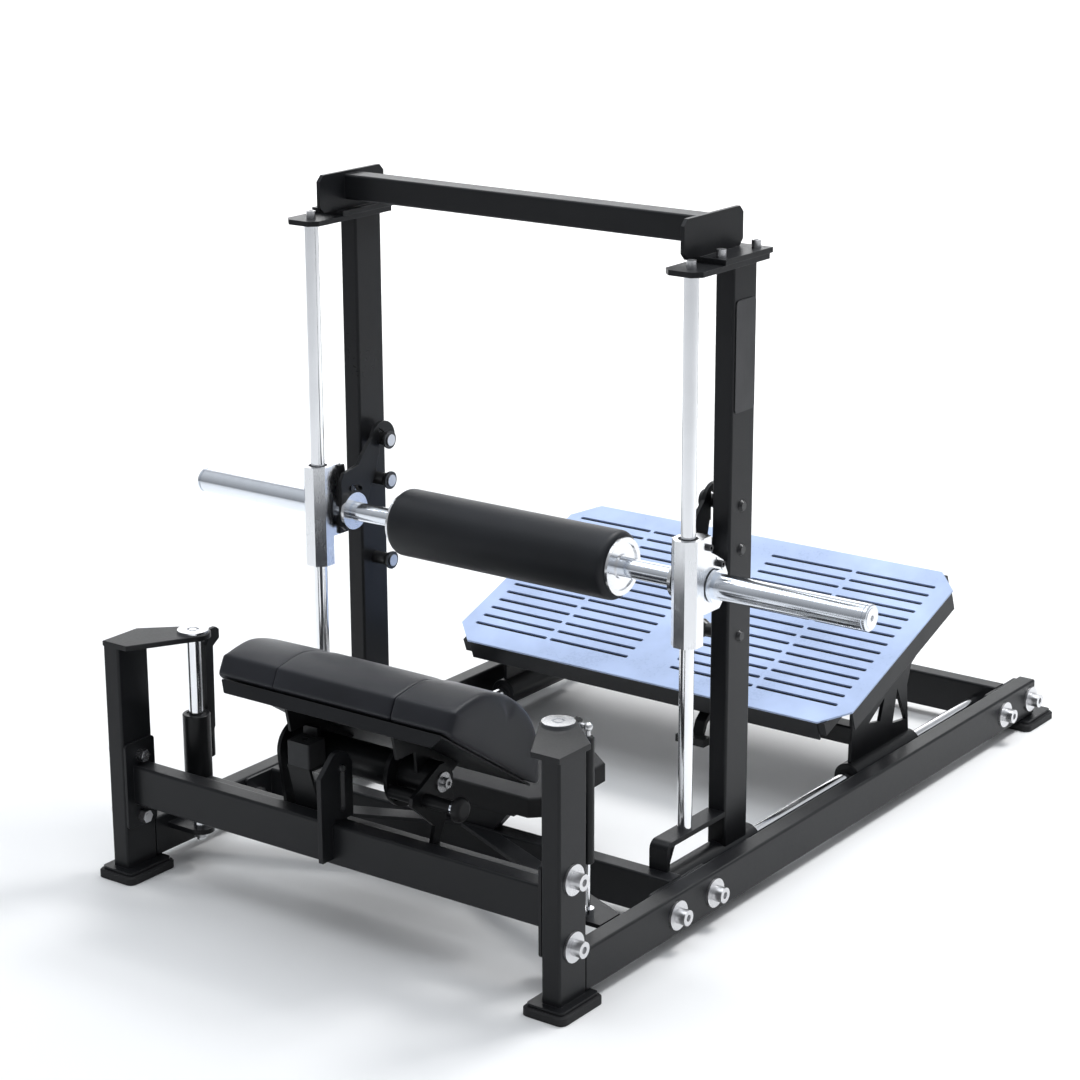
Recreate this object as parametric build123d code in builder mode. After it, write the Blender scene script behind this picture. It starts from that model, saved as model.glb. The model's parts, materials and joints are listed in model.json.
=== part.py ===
from build123d import *
import math
import os

# Hip thrust machine.
# X runs across the machine, Y runs back from the bench end to the footplate end, Z is up.
# The origin is on the floor under the middle of the machine. Units are millimetres.

# ---------------------------------------------------------------- driving dimensions
FRONT_Y = -924.0            # front faces of the two front posts
HALF_WIDTH = 535.0          # outer faces of the posts and side rails
TUBE_W = 40.0               # frame tube, narrow side
TUBE_H = 80.0               # frame tube, wide side
TUBE_R = 5.0                # outer corner radius of the frame tube
WALL = 3.0
FLOOR_GAP = 22.0            # underside of the rails above the floor
RAIL_TOP = FLOOR_GAP + TUBE_H
RAIL_END = 1808.0           # rear ends of the rails, behind the front faces
RAIL_MID_Z = FLOOR_GAP + TUBE_H / 2

FOOT_W = 92.0
FOOT_L = 126.0
FOOT_PAD_H = 16.0

POST_TOP = 472.0
PLATE_T = 10.0              # heavy plate
SHEET_T = 6.0               # end plates

ROD_R = 14.0                # all the guide rods
RUN_GAP = 0.05              # radial clearance of every running fit
BUSH_R = 19.0               # outside of every bush
UPRIGHT_X = 443.0           # centre planes of uprights, bar rods and footplate rods
UPRIGHT_Y0 = 640.0
UPRIGHT_TOP = 1215.0
BASE_TUBE_R = 30.0

BAR_Y = 580.0               # bar axis
BAR_Z = 627.0
BAR_ROD_Y = 530.0           # vertical rods the bar carriage runs on
BAR_END_X = 800.0
SHAFT_R = 19.0
SLEEVE_R = 25.0
JOURNAL_R = 22.0

PEG_Y = 681.0
PEG_HEIGHTS = (500.0, 670.0, 755.0)
PEG_NECK_R = 13.0

BENCH_ROD_X = 432.0         # rods the bench carriage runs on
BENCH_ROD_Y = 140.0
PIVOT_Y = 160.0             # tilt axis of the bench
PIVOT_Z = 303.0
BENCH_TILT = 33.7           # degrees, rear edge low
BENCH_EDGE_Y = 28.0         # front lower edge of the cushion
BENCH_EDGE_Z = 456.0
BENCH_LEN = 324.0
BENCH_HALF_W = 276.0

SEAT_Z = 150.0              # underside of the low seat board behind the bench
SEAT_T = 40.0

PLATE_TILT = 19.9           # footplate, degrees, rear edge high
PLATE_EDGE_Y = 1012.0
PLATE_EDGE_Z = 222.7
PLATE_LEN = 547.0
PLATE_HALF_W = 496.0

BOLT_HEAD_R = 15.0
BOLT_HEAD_H = 20.0
BOLT_SHANK_R = 8.0
BOLT_HOLE_R = 8.5
WASHER_R = 28.0
WASHER_T = 4.0
NUT_R = 13.0
NUT_H = 14.0

SIDES = ((1, "right"), (-1, "left"))

os.makedirs("parts", exist_ok=True)


def back(distance):
    """Y of a point the given distance behind the front faces of the posts."""
    return FRONT_Y + distance


def save(part, label):
    """Name one finished part and write it as its own file."""
    part.label = label
    export_step(part, f"parts/{label}.step")


def side_plane(x):
    """Sketch plane facing +X at x, drawn with local x along Y and local y along Z."""
    return Plane(origin=(x, 0, 0), x_dir=(0, 1, 0), z_dir=(1, 0, 0))


def yz(distance, height):
    """Local point of a side plane: distance behind the front faces, height above the floor."""
    return (back(distance), height)


# ---------------------------------------------------------------- feet and front posts
FOOT_X = HALF_WIDTH - 23.0
FOOT_CENTRES = (TUBE_H / 2, RAIL_END + 1.0)
with BuildPart() as foot_pads:
    with Locations(*[(sx * FOOT_X, back(d), 0) for sx, _ in SIDES for d in FOOT_CENTRES]):
        Box(FOOT_W, FOOT_L, FOOT_PAD_H, align=(Align.CENTER, Align.CENTER, Align.MIN))
    fillet(foot_pads.edges().filter_by(Axis.Z), radius=14)
    chamfer(foot_pads.faces().group_by(Axis.Z)[-1].edges(), length=3)
save(foot_pads.part, "foot_pads")

post_centre_x = HALF_WIDTH - TUBE_W / 2
post_bolt_heights = (RAIL_TOP + 21.0, RAIL_TOP + 147.0)
for sx, side in SIDES:
    with BuildPart() as post:
        with BuildSketch(Plane.XY.offset(FLOOR_GAP)):
            with Locations((sx * post_centre_x, back(TUBE_H / 2))):
                RectangleRounded(TUBE_W, TUBE_H, TUBE_R)
                RectangleRounded(TUBE_W - 2 * WALL, TUBE_H - 2 * WALL, 2, mode=Mode.SUBTRACT)
        extrude(amount=POST_TOP - FLOOR_GAP)
        with BuildSketch(Plane.XY.offset(FOOT_PAD_H)):
            with Locations((sx * FOOT_X, back(TUBE_H / 2))):
                RectangleRounded(FOOT_W - 14, FOOT_L - 14, 8)
        extrude(amount=FLOOR_GAP - FOOT_PAD_H)
        for z in post_bolt_heights:
            with Locations((sx * post_centre_x, back(TUBE_H / 2), z)):
                Cylinder(BOLT_HOLE_R, TUBE_W + 2, rotation=(0, 90, 0), mode=Mode.SUBTRACT)
        # plate on the post that reaches in and back over the bench guide rod
        with BuildSketch(Plane.XY.offset(POST_TOP)):
            with BuildLine():
                Polyline(
                    (sx * 474, back(0)),
                    (sx * 535, back(0)),
                    (sx * 535, back(92)),
                    (sx * 457, back(165)),
                    (sx * 400, back(129)),
                    (sx * 474, back(0)),
                )
            make_face()
            with Locations((sx * BENCH_ROD_X, back(BENCH_ROD_Y))):
                Circle(34)
        extrude(amount=PLATE_T)
        chamfer(post.faces().sort_by(Axis.Z)[-1].edges(), length=1)
    save(post.part, f"front_post_{side}")

with BuildPart() as bench_rod_caps:
    for sx, side in SIDES:
        with BuildSketch(Plane.XY.offset(POST_TOP + PLATE_T)):
            with Locations((sx * BENCH_ROD_X, back(BENCH_ROD_Y))):
                Circle(30)
        extrude(amount=5)
        with BuildSketch(Plane.XY.offset(POST_TOP + PLATE_T + 3)):
            with Locations((sx * BENCH_ROD_X, back(BENCH_ROD_Y))):
                Circle(12)
                Circle(7, mode=Mode.SUBTRACT)
        extrude(amount=3, mode=Mode.SUBTRACT)
save(bench_rod_caps.part, "bench_rod_caps")

# ---------------------------------------------------------------- base frame
rail_bolt_pairs = ((369.0, 493.0), (1669.0, 1793.0))
inner_x = HALF_WIDTH - TUBE_W       # inner faces of posts and rails
LUG_TOP = 82.0
for sx, side in SIDES:
    with BuildPart() as rail:
        with BuildSketch(Plane.XZ.offset(-back(TUBE_H))):
            with Locations((sx * post_centre_x, RAIL_MID_Z)):
                RectangleRounded(TUBE_W, TUBE_H, TUBE_R)
                RectangleRounded(TUBE_W - 2 * WALL, TUBE_H - 2 * WALL, 2, mode=Mode.SUBTRACT)
        extrude(amount=-(RAIL_END - TUBE_H))
        for pair in rail_bolt_pairs:
            for d in pair:
                with Locations((sx * post_centre_x, back(d), RAIL_MID_Z)):
                    Cylinder(BOLT_HOLE_R, TUBE_W + 2, rotation=(0, 90, 0), mode=Mode.SUBTRACT)
        with BuildSketch(Plane.XY.offset(FOOT_PAD_H)):
            with Locations((sx * FOOT_X, back(RAIL_END + 1.0))):
                RectangleRounded(FOOT_W - 14, FOOT_L - 14, 8)
        extrude(amount=FLOOR_GAP - FOOT_PAD_H)
        # lug that holds the foot of the bench guide rod
        with BuildSketch(Plane.XY.offset(LUG_TOP - PLATE_T)):
            with Locations((sx * (BENCH_ROD_X + inner_x) / 2, back(BENCH_ROD_Y))):
                Rectangle(inner_x - BENCH_ROD_X, 54)
            with Locations((sx * BENCH_ROD_X, back(BENCH_ROD_Y))):
                Circle(27)
                Circle(8, mode=Mode.SUBTRACT)
        extrude(amount=PLATE_T)
    save(rail.part, f"side_rail_{side}")

with BuildPart() as rail_end_caps:
    for sx, side in SIDES:
        with BuildSketch(Plane.XZ.offset(-back(RAIL_END))):
            with Locations((sx * post_centre_x, RAIL_MID_Z)):
                RectangleRounded(TUBE_W, TUBE_H, TUBE_R)
        extrude(amount=-4)
save(rail_end_caps.part, "rail_end_caps")

beam_end = inner_x - SHEET_T

BRACE_T = 8.0
# three cross-members, each a tube with a bolting plate on both ends
CROSS_BEAMS = (
    # label, tube centre Y, tube centre Z, plate Y size, plate Z size, bolt points
    ("front_crossbeam", 40.0, 191.0, 78.0, 174.0, [(40.0, z) for z in post_bolt_heights]),
    ("middle_crossmember", 431.0, RAIL_MID_Z, 186.0, 76.0, [(d, RAIL_MID_Z) for d in rail_bolt_pairs[0]]),
    ("rear_crossmember", 1731.0, RAIL_MID_Z, 150.0, 76.0, [(d, RAIL_MID_Z) for d in rail_bolt_pairs[1]]),
)
for label, centre_y, centre_z, plate_y, plate_z, bolts in CROSS_BEAMS:
    with BuildPart() as beam:
        with BuildSketch(side_plane(-beam_end)):
            with Locations(yz(centre_y, centre_z)):
                RectangleRounded(TUBE_W, TUBE_H, TUBE_R)
                RectangleRounded(TUBE_W - 2 * WALL, TUBE_H - 2 * WALL, 2, mode=Mode.SUBTRACT)
        extrude(amount=2 * beam_end)
        for x in (-inner_x, beam_end):
            with BuildSketch(side_plane(x)):
                with Locations(yz(centre_y, centre_z)):
                    RectangleRounded(plate_y, plate_z, 8)
                with Locations(*[yz(d, z) for d, z in bolts]):
                    Circle(BOLT_HOLE_R, mode=Mode.SUBTRACT)
            extrude(amount=SHEET_T)
        if label == "middle_crossmember":
            # flat diagonal braces out to the rails
            for sx, side in SIDES:
                with BuildSketch(Plane.XY.offset(RAIL_TOP - BRACE_T)):
                    with BuildLine():
                        Polyline(
                            (sx * 2, back(411)), (sx * 93, back(411)), (sx * inner_x, back(240)),
                            (sx * inner_x, back(178)), (sx * 436, back(178)), (sx * 436, back(214)),
                            (sx * 2, back(411)),
                        )
                    make_face()
                extrude(amount=BRACE_T)
            # pedestal of the seat board, with a flat plate under the board
            with BuildSketch(Plane.XZ.offset(-back(centre_y - 14))):
                with BuildLine():
                    Polyline(
                        (-75, RAIL_TOP - 2), (75, RAIL_TOP - 2), (115, SEAT_Z - SHEET_T / 2),
                        (-115, SEAT_Z - SHEET_T / 2), (-75, RAIL_TOP - 2),
                    )
                make_face()
            extrude(amount=-28)
            with Locations((0, back(534), SEAT_Z)):
                Box(260, 244, SHEET_T, align=(Align.CENTER, Align.CENTER, Align.MAX))
    save(beam.part, label)

# low seat board on the pedestal
with BuildPart() as seat_board:
    with BuildSketch(Plane.XY.offset(SEAT_Z)):
        with BuildLine():
            Polyline(
                (-165, back(410)), (165, back(410)), (188, back(432)), (176, back(652)), (126, back(690)),
                (-126, back(690)), (-176, back(652)), (-188, back(432)), (-165, back(410)),
            )
        make_face()
    extrude(amount=SEAT_T)
    fillet(seat_board.edges().group_by(Axis.Z)[-1], radius=5)
save(seat_board.part, "seat_board")

# through bolts with their big washers, and the nuts inside
bolt_points = [(40.0, z) for z in post_bolt_heights]
for pair in rail_bolt_pairs:
    bolt_points = bolt_points + [(d, RAIL_MID_Z) for d in pair]
shank_len = WASHER_T + TUBE_W + SHEET_T + NUT_H + 1

with BuildPart() as frame_bolts:
    for sx, side in SIDES:
        face = HALF_WIDTH + WASHER_T
        for d, z in bolt_points:
            with Locations((sx * (face - shank_len / 2), back(d), z)):
                Cylinder(BOLT_SHANK_R, shank_len, rotation=(0, 90, 0))
            with Locations((sx * (face + BOLT_HEAD_H / 2), back(d), z)):
                Cylinder(BOLT_HEAD_R, BOLT_HEAD_H, rotation=(0, 90, 0))
            with Locations(Location((sx * (face + BOLT_HEAD_H), back(d), z), (0, 90, 0))):
                Cylinder(6.5, 16, mode=Mode.SUBTRACT)
            with Locations((sx * (HALF_WIDTH + WASHER_T / 2), back(d), z)):
                Cylinder(WASHER_R, WASHER_T, rotation=(0, 90, 0))
save(frame_bolts.part, "frame_bolts")

with BuildPart() as frame_nuts:
    for sx, side in SIDES:
        for d, z in bolt_points:
            with BuildSketch(side_plane(sx * (beam_end - NUT_H / 2))):
                with Locations(yz(d, z)):
                    RegularPolygon(NUT_R, 6)
                    Circle(BOLT_SHANK_R, mode=Mode.SUBTRACT)
            extrude(amount=NUT_H / 2, both=True)
        # nut under the foot of the bench guide rod
        with BuildSketch(Plane.XY.offset(LUG_TOP - PLATE_T - 12)):
            with Locations((sx * BENCH_ROD_X, back(BENCH_ROD_Y))):
                RegularPolygon(14, 6)
                Circle(8, mode=Mode.SUBTRACT)
        extrude(amount=12)
save(frame_nuts.part, "frame_nuts")

# ---------------------------------------------------------------- uprights and bar rods
BRACKET_TOP = 157.0
for sx, side in SIDES:
    # round tube from the middle cross-member that holds the front end of the footplate rod
    with BuildPart() as upright:
        with BuildSketch(Plane.XY.offset(RAIL_MID_Z)):
            with Locations((sx * UPRIGHT_X, back(UPRIGHT_Y0 + TUBE_H / 2))):
                RectangleRounded(TUBE_W, TUBE_H, TUBE_R)
                RectangleRounded(TUBE_W - 2 * WALL, TUBE_H - 2 * WALL, 2, mode=Mode.SUBTRACT)
        extrude(amount=UPRIGHT_TOP - RAIL_MID_Z)
        with BuildSketch(Plane.XZ.offset(-back(451))):
            with Locations((sx * UPRIGHT_X, RAIL_MID_Z)):
                Circle(BASE_TUBE_R)
        extrude(amount=-(755 - 451))
        with Locations((sx * 483, back(681), RAIL_MID_Z)):
            Box(24, 62, 40)
        with BuildSketch(Plane.XZ.offset(-back(451))):
            with Locations((sx * UPRIGHT_X, RAIL_MID_Z)):
                Circle(ROD_R)
        extrude(amount=-(755 - 451), mode=Mode.SUBTRACT)
        # bent flat bar on the cross-member that carries the foot of the bar rod
        with BuildSketch(side_plane(sx * UPRIGHT_X)):
            with BuildLine():
                Polyline(yz(441, RAIL_TOP), yz(441, BRACKET_TOP - 18))
                RadiusArc(yz(441, BRACKET_TOP - 18), yz(459, BRACKET_TOP), 18)
                Polyline(
                    yz(459, BRACKET_TOP), yz(640, BRACKET_TOP), yz(640, BRACKET_TOP - PLATE_T),
                    yz(451, BRACKET_TOP - PLATE_T), yz(451, RAIL_TOP), yz(441, RAIL_TOP),
                )
            make_face()
        extrude(amount=TUBE_W / 2, both=True)
        # bent flat bar is welded to the tube by a short web
        with BuildSketch(side_plane(sx * UPRIGHT_X)):
            with BuildLine():
                Polyline(
                    yz(451, RAIL_TOP), yz(451, BRACKET_TOP - PLATE_T), yz(500, BRACKET_TOP - PLATE_T),
                    yz(470, RAIL_MID_Z + 28), yz(451, RAIL_MID_Z + 28), yz(451, RAIL_TOP),
                )
            make_face()
        extrude(amount=3, both=True)
    save(upright.part, f"upright_{side}")

with BuildPart() as bar_rods:
    with BuildSketch(Plane.XY.offset(BRACKET_TOP)):
        with Locations(*[(sx * UPRIGHT_X, back(BAR_ROD_Y)) for sx, _ in SIDES]):
            Circle(ROD_R)
    extrude(amount=UPRIGHT_TOP - BRACKET_TOP)
save(bar_rods.part, "bar_rods")

# tabs over the uprights and the bar rods
with BuildPart() as top_tabs:
    with BuildSketch(Plane.XY.offset(UPRIGHT_TOP)):
        with Locations(*[(sx * UPRIGHT_X, back(618)) for sx, _ in SIDES]):
            Rectangle(80, 254)
        chamfer(vertices(), length=16)
    extrude(amount=PLATE_T)
save(top_tabs.part, "upright_tabs")

# top crossbar with vertical end plates standing on flanges
CROSSBAR = 50.0
crossbar_y = 630.0
crossbar_z = 1278.0
flange_z = UPRIGHT_TOP + PLATE_T
with BuildPart() as crossbar:
    with BuildSketch(side_plane(-419)):
        with Locations(yz(crossbar_y, crossbar_z)):
            RectangleRounded(CROSSBAR, CROSSBAR, TUBE_R)
            RectangleRounded(CROSSBAR - 2 * WALL, CROSSBAR - 2 * WALL, 2, mode=Mode.SUBTRACT)
    extrude(amount=2 * 419)
    for x in (-427, 419):
        with BuildSketch(side_plane(x)):
            with Locations(yz(628, 1272)):
                Rectangle(196, 74)
            chamfer(vertices().group_by(Axis.Z)[-1], length=12)
        extrude(amount=8)
    for sx, side in SIDES:
        with Locations((sx * UPRIGHT_X, back(660), flange_z)):
            Box(80, 160, PLATE_T, align=(Align.CENTER, Align.CENTER, Align.MIN))
save(crossbar.part, "top_crossbar")

TOP_BOLTS = ((UPRIGHT_X, BAR_ROD_Y, flange_z), (458.0, 604.0, flange_z + PLATE_T), (458.0, 722.0, flange_z + PLATE_T))
# rack pegs on the inner faces of the uprights
upright_inner = UPRIGHT_X - TUBE_W / 2
PEG_CAP_R = 18.5
with BuildPart() as pegs:
    for sx, side in SIDES:
        for z in PEG_HEIGHTS:
            with BuildSketch(side_plane(sx * (upright_inner - 41))):
                with Locations(yz(PEG_Y, z)):
                    Circle(PEG_NECK_R)
            extrude(amount=sx * 41)
            with Locations(Location((sx * (upright_inner - 36), back(PEG_Y), z), (0, sx * 90, 0))):
                Cone(PEG_CAP_R, PEG_NECK_R, 10)
            with BuildSketch(side_plane(sx * (upright_inner - 45))):
                with Locations(yz(PEG_Y, z)):
                    Circle(PEG_CAP_R)
            extrude(amount=sx * 4)
            with BuildSketch(side_plane(sx * (upright_inner - 48))):
                with Locations(yz(PEG_Y, z)):
                    Circle(12)
            extrude(amount=sx * 3)
save(pegs.part, "rack_pegs")

# blank badges on the outer faces of the uprights, and the domed heads of the peg bolts
upright_outer = UPRIGHT_X + TUBE_W / 2
with BuildPart() as badges:
    for sx, side in SIDES:
        with BuildSketch(side_plane(sx * upright_outer)):
            with Locations(yz(PEG_Y, 1042)):
                RectangleRounded(66, 210, 8)
        extrude(amount=sx * 2)
save(badges.part, "upright_badges")

with BuildPart() as upright_bolts:
    for sx, side in SIDES:
        for z in PEG_HEIGHTS:
            with Locations(Location((sx * (upright_outer + 2.5), back(PEG_Y), z), (0, sx * 90, 0))):
                Cone(11.5, 8, 5)
        # socket screws through the flanges at the top
        for x, d, z in TOP_BOLTS:
            with Locations((sx * x, back(d), z)):
                Cylinder(9, 14, align=(Align.CENTER, Align.CENTER, Align.MIN))
            with Locations((sx * x, back(d), z + 14)):
                Cylinder(4.5, 12, mode=Mode.SUBTRACT)
save(upright_bolts.part, "upright_bolts")

# ---------------------------------------------------------------- footplate rods
with BuildPart() as foot_rods:
    with BuildSketch(Plane.XZ.offset(-back(451))):
        with Locations(*[(sx * UPRIGHT_X, RAIL_MID_Z) for sx, _ in SIDES]):
            Circle(ROD_R)
    extrude(amount=-(1711 - 451))
save(foot_rods.part, "footplate_rods")

# ---------------------------------------------------------------- bench rods and lift limit
with BuildPart() as bench_rods:
    for sx, side in SIDES:
        with BuildSketch(Plane.XY.offset(LUG_TOP)):
            with Locations((sx * BENCH_ROD_X, back(BENCH_ROD_Y))):
                Circle(ROD_R)
        extrude(amount=POST_TOP - LUG_TOP)
        with BuildSketch(Plane.XY.offset(LUG_TOP - 28)):
            with Locations((sx * BENCH_ROD_X, back(BENCH_ROD_Y))):
                Circle(8)
        extrude(amount=28)
save(bench_rods.part, "bench_rods")

# slotted plate over the front crossbeam that limits the lift of the bench
BRACKET_X = 2.0
SLOT_Y = 50.0
with BuildPart() as stop_bracket:
    with BuildSketch(side_plane(BRACKET_X)):
        with BuildLine():
            Polyline(
                yz(-10, 163), yz(20, 163), yz(20, 231), yz(79, 231), yz(79, 336), yz(66, 357),
                yz(50, 365), yz(32, 365), yz(24, 360), yz(-10, 327), yz(-10, 163),
            )
        make_face()
        with Locations(yz(SLOT_Y, 293)):
            SlotOverall(92, 13, rotation=90, mode=Mode.SUBTRACT)
    extrude(amount=PLATE_T)
save(stop_bracket.part, "lift_stop_bracket")

# gas strut rods stand on the braces, their cylinders ride with the bench
STRUT_X = 455.0
STRUT_Y = 198.0
STRUT_BALL_Z = 463.0
CYLINDER_Z0 = 205.0
with BuildPart() as strut_rods:
    with BuildSketch(Plane.XY.offset(RAIL_TOP)):
        with Locations(*[(sx * STRUT_X, back(STRUT_Y)) for sx, _ in SIDES]):
            Circle(11)
    extrude(amount=16)
    with BuildSketch(Plane.XY.offset(RAIL_TOP + 16)):
        with Locations(*[(sx * STRUT_X, back(STRUT_Y)) for sx, _ in SIDES]):
            Circle(4)
    extrude(amount=CYLINDER_Z0 + 90 - RAIL_TOP - 16)
save(strut_rods.part, "gas_strut_rods")

# ================================================================ bench carriage
SLEEVE_Z0 = 150.0
SLEEVE_Z1 = 316.0
rod_points = [(sx * BENCH_ROD_X, back(BENCH_ROD_Y)) for sx, _ in SIDES]
with BuildPart() as bench_bearings:
    with BuildSketch(Plane.XY.offset(SLEEVE_Z0)):
        with Locations(*rod_points):
            Circle(27)
    extrude(amount=SLEEVE_Z1 - SLEEVE_Z0)
    chamfer(bench_bearings.edges().filter_by(GeomType.CIRCLE), length=1.5)
    # arms behind the bearings that hold the ball joints of the gas struts
    for sx, side in SIDES:
        with BuildSketch(side_plane(sx * BENCH_ROD_X)):
            with BuildLine():
                Polyline(
                    yz(150, 240), yz(172, 250), yz(188, 276), yz(190, 440), yz(208, 452), yz(208, 470),
                    yz(200, 476), yz(178, 476), yz(178, 458), yz(171, 446), yz(168, 316),
                    yz(150, 300), yz(150, 240),
                )
            make_face()
        extrude(amount=4, both=True)
    with BuildSketch(Plane.XY.offset(SLEEVE_Z0)):
        with Locations(*rod_points):
            Circle(BUSH_R)
    extrude(amount=SLEEVE_Z1 - SLEEVE_Z0, mode=Mode.SUBTRACT)
save(bench_bearings.part, "bench_bearings")

with BuildPart() as strut_cylinders:
    with BuildSketch(Plane.XY.offset(CYLINDER_Z0)):
        with Locations(*[(sx * STRUT_X, back(STRUT_Y)) for sx, _ in SIDES]):
            Circle(11)
    extrude(amount=445 - CYLINDER_Z0)
    chamfer(strut_cylinders.edges().filter_by(GeomType.CIRCLE), length=2)
    with BuildSketch(Plane.XY.offset(CYLINDER_Z0)):
        with Locations(*[(sx * STRUT_X, back(STRUT_Y)) for sx, _ in SIDES]):
            Circle(4 + RUN_GAP)
    extrude(amount=200, mode=Mode.SUBTRACT)
save(strut_cylinders.part, "gas_strut_cylinders")

with BuildPart() as ball_joints:
    for sx, side in SIDES:
        with Locations((sx * STRUT_X, back(STRUT_Y), STRUT_BALL_Z)):
            Sphere(8)
        with BuildSketch(Plane.XY.offset(445)):
            with Locations((sx * STRUT_X, back(STRUT_Y))):
                Circle(4)
        extrude(amount=STRUT_BALL_Z - 445)
        with Locations((sx * (436 + STRUT_X) / 2, back(STRUT_Y), STRUT_BALL_Z)):
            Cylinder(5, STRUT_X - 436, rotation=(0, 90, 0))
save(ball_joints.part, "gas_strut_ball_joints")

with BuildPart() as bench_bushes:
    for sx, side in SIDES:
        for z in (SLEEVE_Z0 + 2, SLEEVE_Z1 - 32):
            with BuildSketch(Plane.XY.offset(z)):
                with Locations((sx * BENCH_ROD_X, back(BENCH_ROD_Y))):
                    Circle(BUSH_R)
                    Circle(ROD_R + RUN_GAP, mode=Mode.SUBTRACT)
            extrude(amount=30)
save(bench_bushes.part, "bench_bushes")

# carriage beam between the two bearings
BEAM = 40.0
BEAM_Y = 130.0
BEAM_Z = SLEEVE_Z0 + BEAM / 2
beam_top = BEAM_Z + BEAM / 2
GUIDE_ARM_X = -16.0
GUIDE_PIN_Z = 331.0
STOP_Z = 298.0
with BuildPart() as carriage_beam:
    with BuildSketch(side_plane(-BENCH_ROD_X)):
        with Locations(yz(BEAM_Y, BEAM_Z)):
            RectangleRounded(BEAM, BEAM, 4)
            RectangleRounded(BEAM - 2 * WALL, BEAM - 2 * WALL, 2, mode=Mode.SUBTRACT)
    extrude(amount=2 * BENCH_ROD_X)
    for sx, side in SIDES:
        with Locations((sx * BENCH_ROD_X, back(BENCH_ROD_Y), BEAM_Z)):
            Cylinder(27, 60, mode=Mode.SUBTRACT)
            Box(60, 80, 60, align=(Align.MIN if sx > 0 else Align.MAX, Align.CENTER, Align.CENTER), mode=Mode.SUBTRACT)
    # bent plate that carries the rubber stop block
    with BuildSketch(Plane.XZ.offset(-back(72))):
        with BuildLine():
            Polyline((-140, STOP_Z), (-87, STOP_Z), (-66, 230), (-56, 154), (-112, 154), (-122, 230), (-140, STOP_Z))
        make_face()
    extrude(amount=-SHEET_T)
    with Locations((-113.5, back(72), STOP_Z)):
        Box(53, 50, SHEET_T, align=(Align.CENTER, Align.MIN, Align.MAX))
    with Locations((-86, back(72), 154)):
        Box(50, BEAM_Y - 72, SHEET_T, align=(Align.CENTER, Align.MIN, Align.MIN))
    # arm that carries the lift guide pin forward
    with BuildSketch(side_plane(GUIDE_ARM_X)):
        with BuildLine():
            Polyline(
                yz(40, 341), yz(62, 341), yz(84, 300), yz(84, 190), yz(112, 190), yz(112, 160),
                yz(64, 160), yz(64, 300), yz(40, 321), yz(40, 341),
            )
        make_face()
        with Locations(yz(SLOT_Y, GUIDE_PIN_Z)):
            Circle(6, mode=Mode.SUBTRACT)
    extrude(amount=8)
save(carriage_beam.part, "bench_carriage_beam")

# pivot cheeks on the beam: a round one on the left, a kite shaped one on the right
PLUNGER_Y = 110.0
PLUNGER_Z = 283.0
CHEEK_T = 8.0
LEFT_CHEEK_X = -190.0
RIGHT_CHEEK_X = 150.0
SHAFT_PIVOT_R = 15.0
with BuildPart() as cheeks:
    with BuildSketch(side_plane(LEFT_CHEEK_X)):
        with Locations(yz(PIVOT_Y - 10, PIVOT_Z)):
            Circle(50)
        with BuildLine():
            Polyline(
                yz(101, 290), yz(109, 235), yz(116, beam_top), yz(150, beam_top), yz(182, 235),
                yz(196, 280), yz(101, 290),
            )
        make_face()
        with Locations(yz(PIVOT_Y, PIVOT_Z)):
            Circle(SHAFT_PIVOT_R, mode=Mode.SUBTRACT)
    extrude(amount=CHEEK_T)
    with BuildSketch(side_plane(RIGHT_CHEEK_X)):
        with BuildLine():
            Polyline(
                yz(152, 339), yz(168, 339), yz(190, 310), yz(190, 256), yz(170, 236), yz(148, beam_top),
                yz(126, beam_top), yz(136, 224), yz(70, 282), yz(72, 298), yz(152, 339),
            )
        make_face()
        with Locations(yz(PIVOT_Y, PIVOT_Z)):
            Circle(SHAFT_PIVOT_R, mode=Mode.SUBTRACT)
        with Locations(yz(PLUNGER_Y, PLUNGER_Z)):
            Circle(13, mode=Mode.SUBTRACT)
    extrude(amount=CHEEK_T)
save(cheeks.part, "pivot_cheeks")

with BuildPart() as pivot_shaft:
    with BuildSketch(side_plane(LEFT_CHEEK_X)):
        with Locations(yz(PIVOT_Y, PIVOT_Z)):
            Circle(SHAFT_PIVOT_R)
    extrude(amount=RIGHT_CHEEK_X + CHEEK_T - LEFT_CHEEK_X)
    for x, way in ((LEFT_CHEEK_X, -1), (RIGHT_CHEEK_X + CHEEK_T, 1)):
        with BuildSketch(side_plane(x)):
            with Locations(yz(PIVOT_Y, PIVOT_Z)):
                Circle(19)
        extrude(amount=way * 3)
        with BuildSketch(side_plane(x + way * 3)):
            with Locations(yz(PIVOT_Y, PIVOT_Z)):
                Circle(9.5)
                RegularPolygon(5, 6, mode=Mode.SUBTRACT)
        extrude(amount=way * 11)
save(pivot_shaft.part, "pivot_shaft")

# rubber stop block under the front of the bench
STOP_H = 48.0
with BuildPart() as stop_block:
    with Locations((-113.5, back(97), STOP_Z)):
        Box(53, 50, STOP_H, align=(Align.CENTER, Align.CENTER, Align.MIN))
    fillet(stop_block.edges().filter_by(Axis.Z), radius=4)
    with Locations((-116, back(96), STOP_Z + STOP_H)):
        Cylinder(6, 12, mode=Mode.SUBTRACT)
save(stop_block.part, "stop_block")

# housing of the index plunger in the right cheek, and the lift guide pin in the bracket slot
HOUSING_X0 = 80.0
HOUSING_X1 = 218.0
with BuildPart() as plunger_housing:
    with BuildSketch(side_plane(HOUSING_X0)):
        with Locations(yz(PLUNGER_Y, PLUNGER_Z)):
            Circle(13)
            Circle(6 + RUN_GAP, mode=Mode.SUBTRACT)
    extrude(amount=HOUSING_X1 - HOUSING_X0)
save(plunger_housing.part, "plunger_housing")

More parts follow.
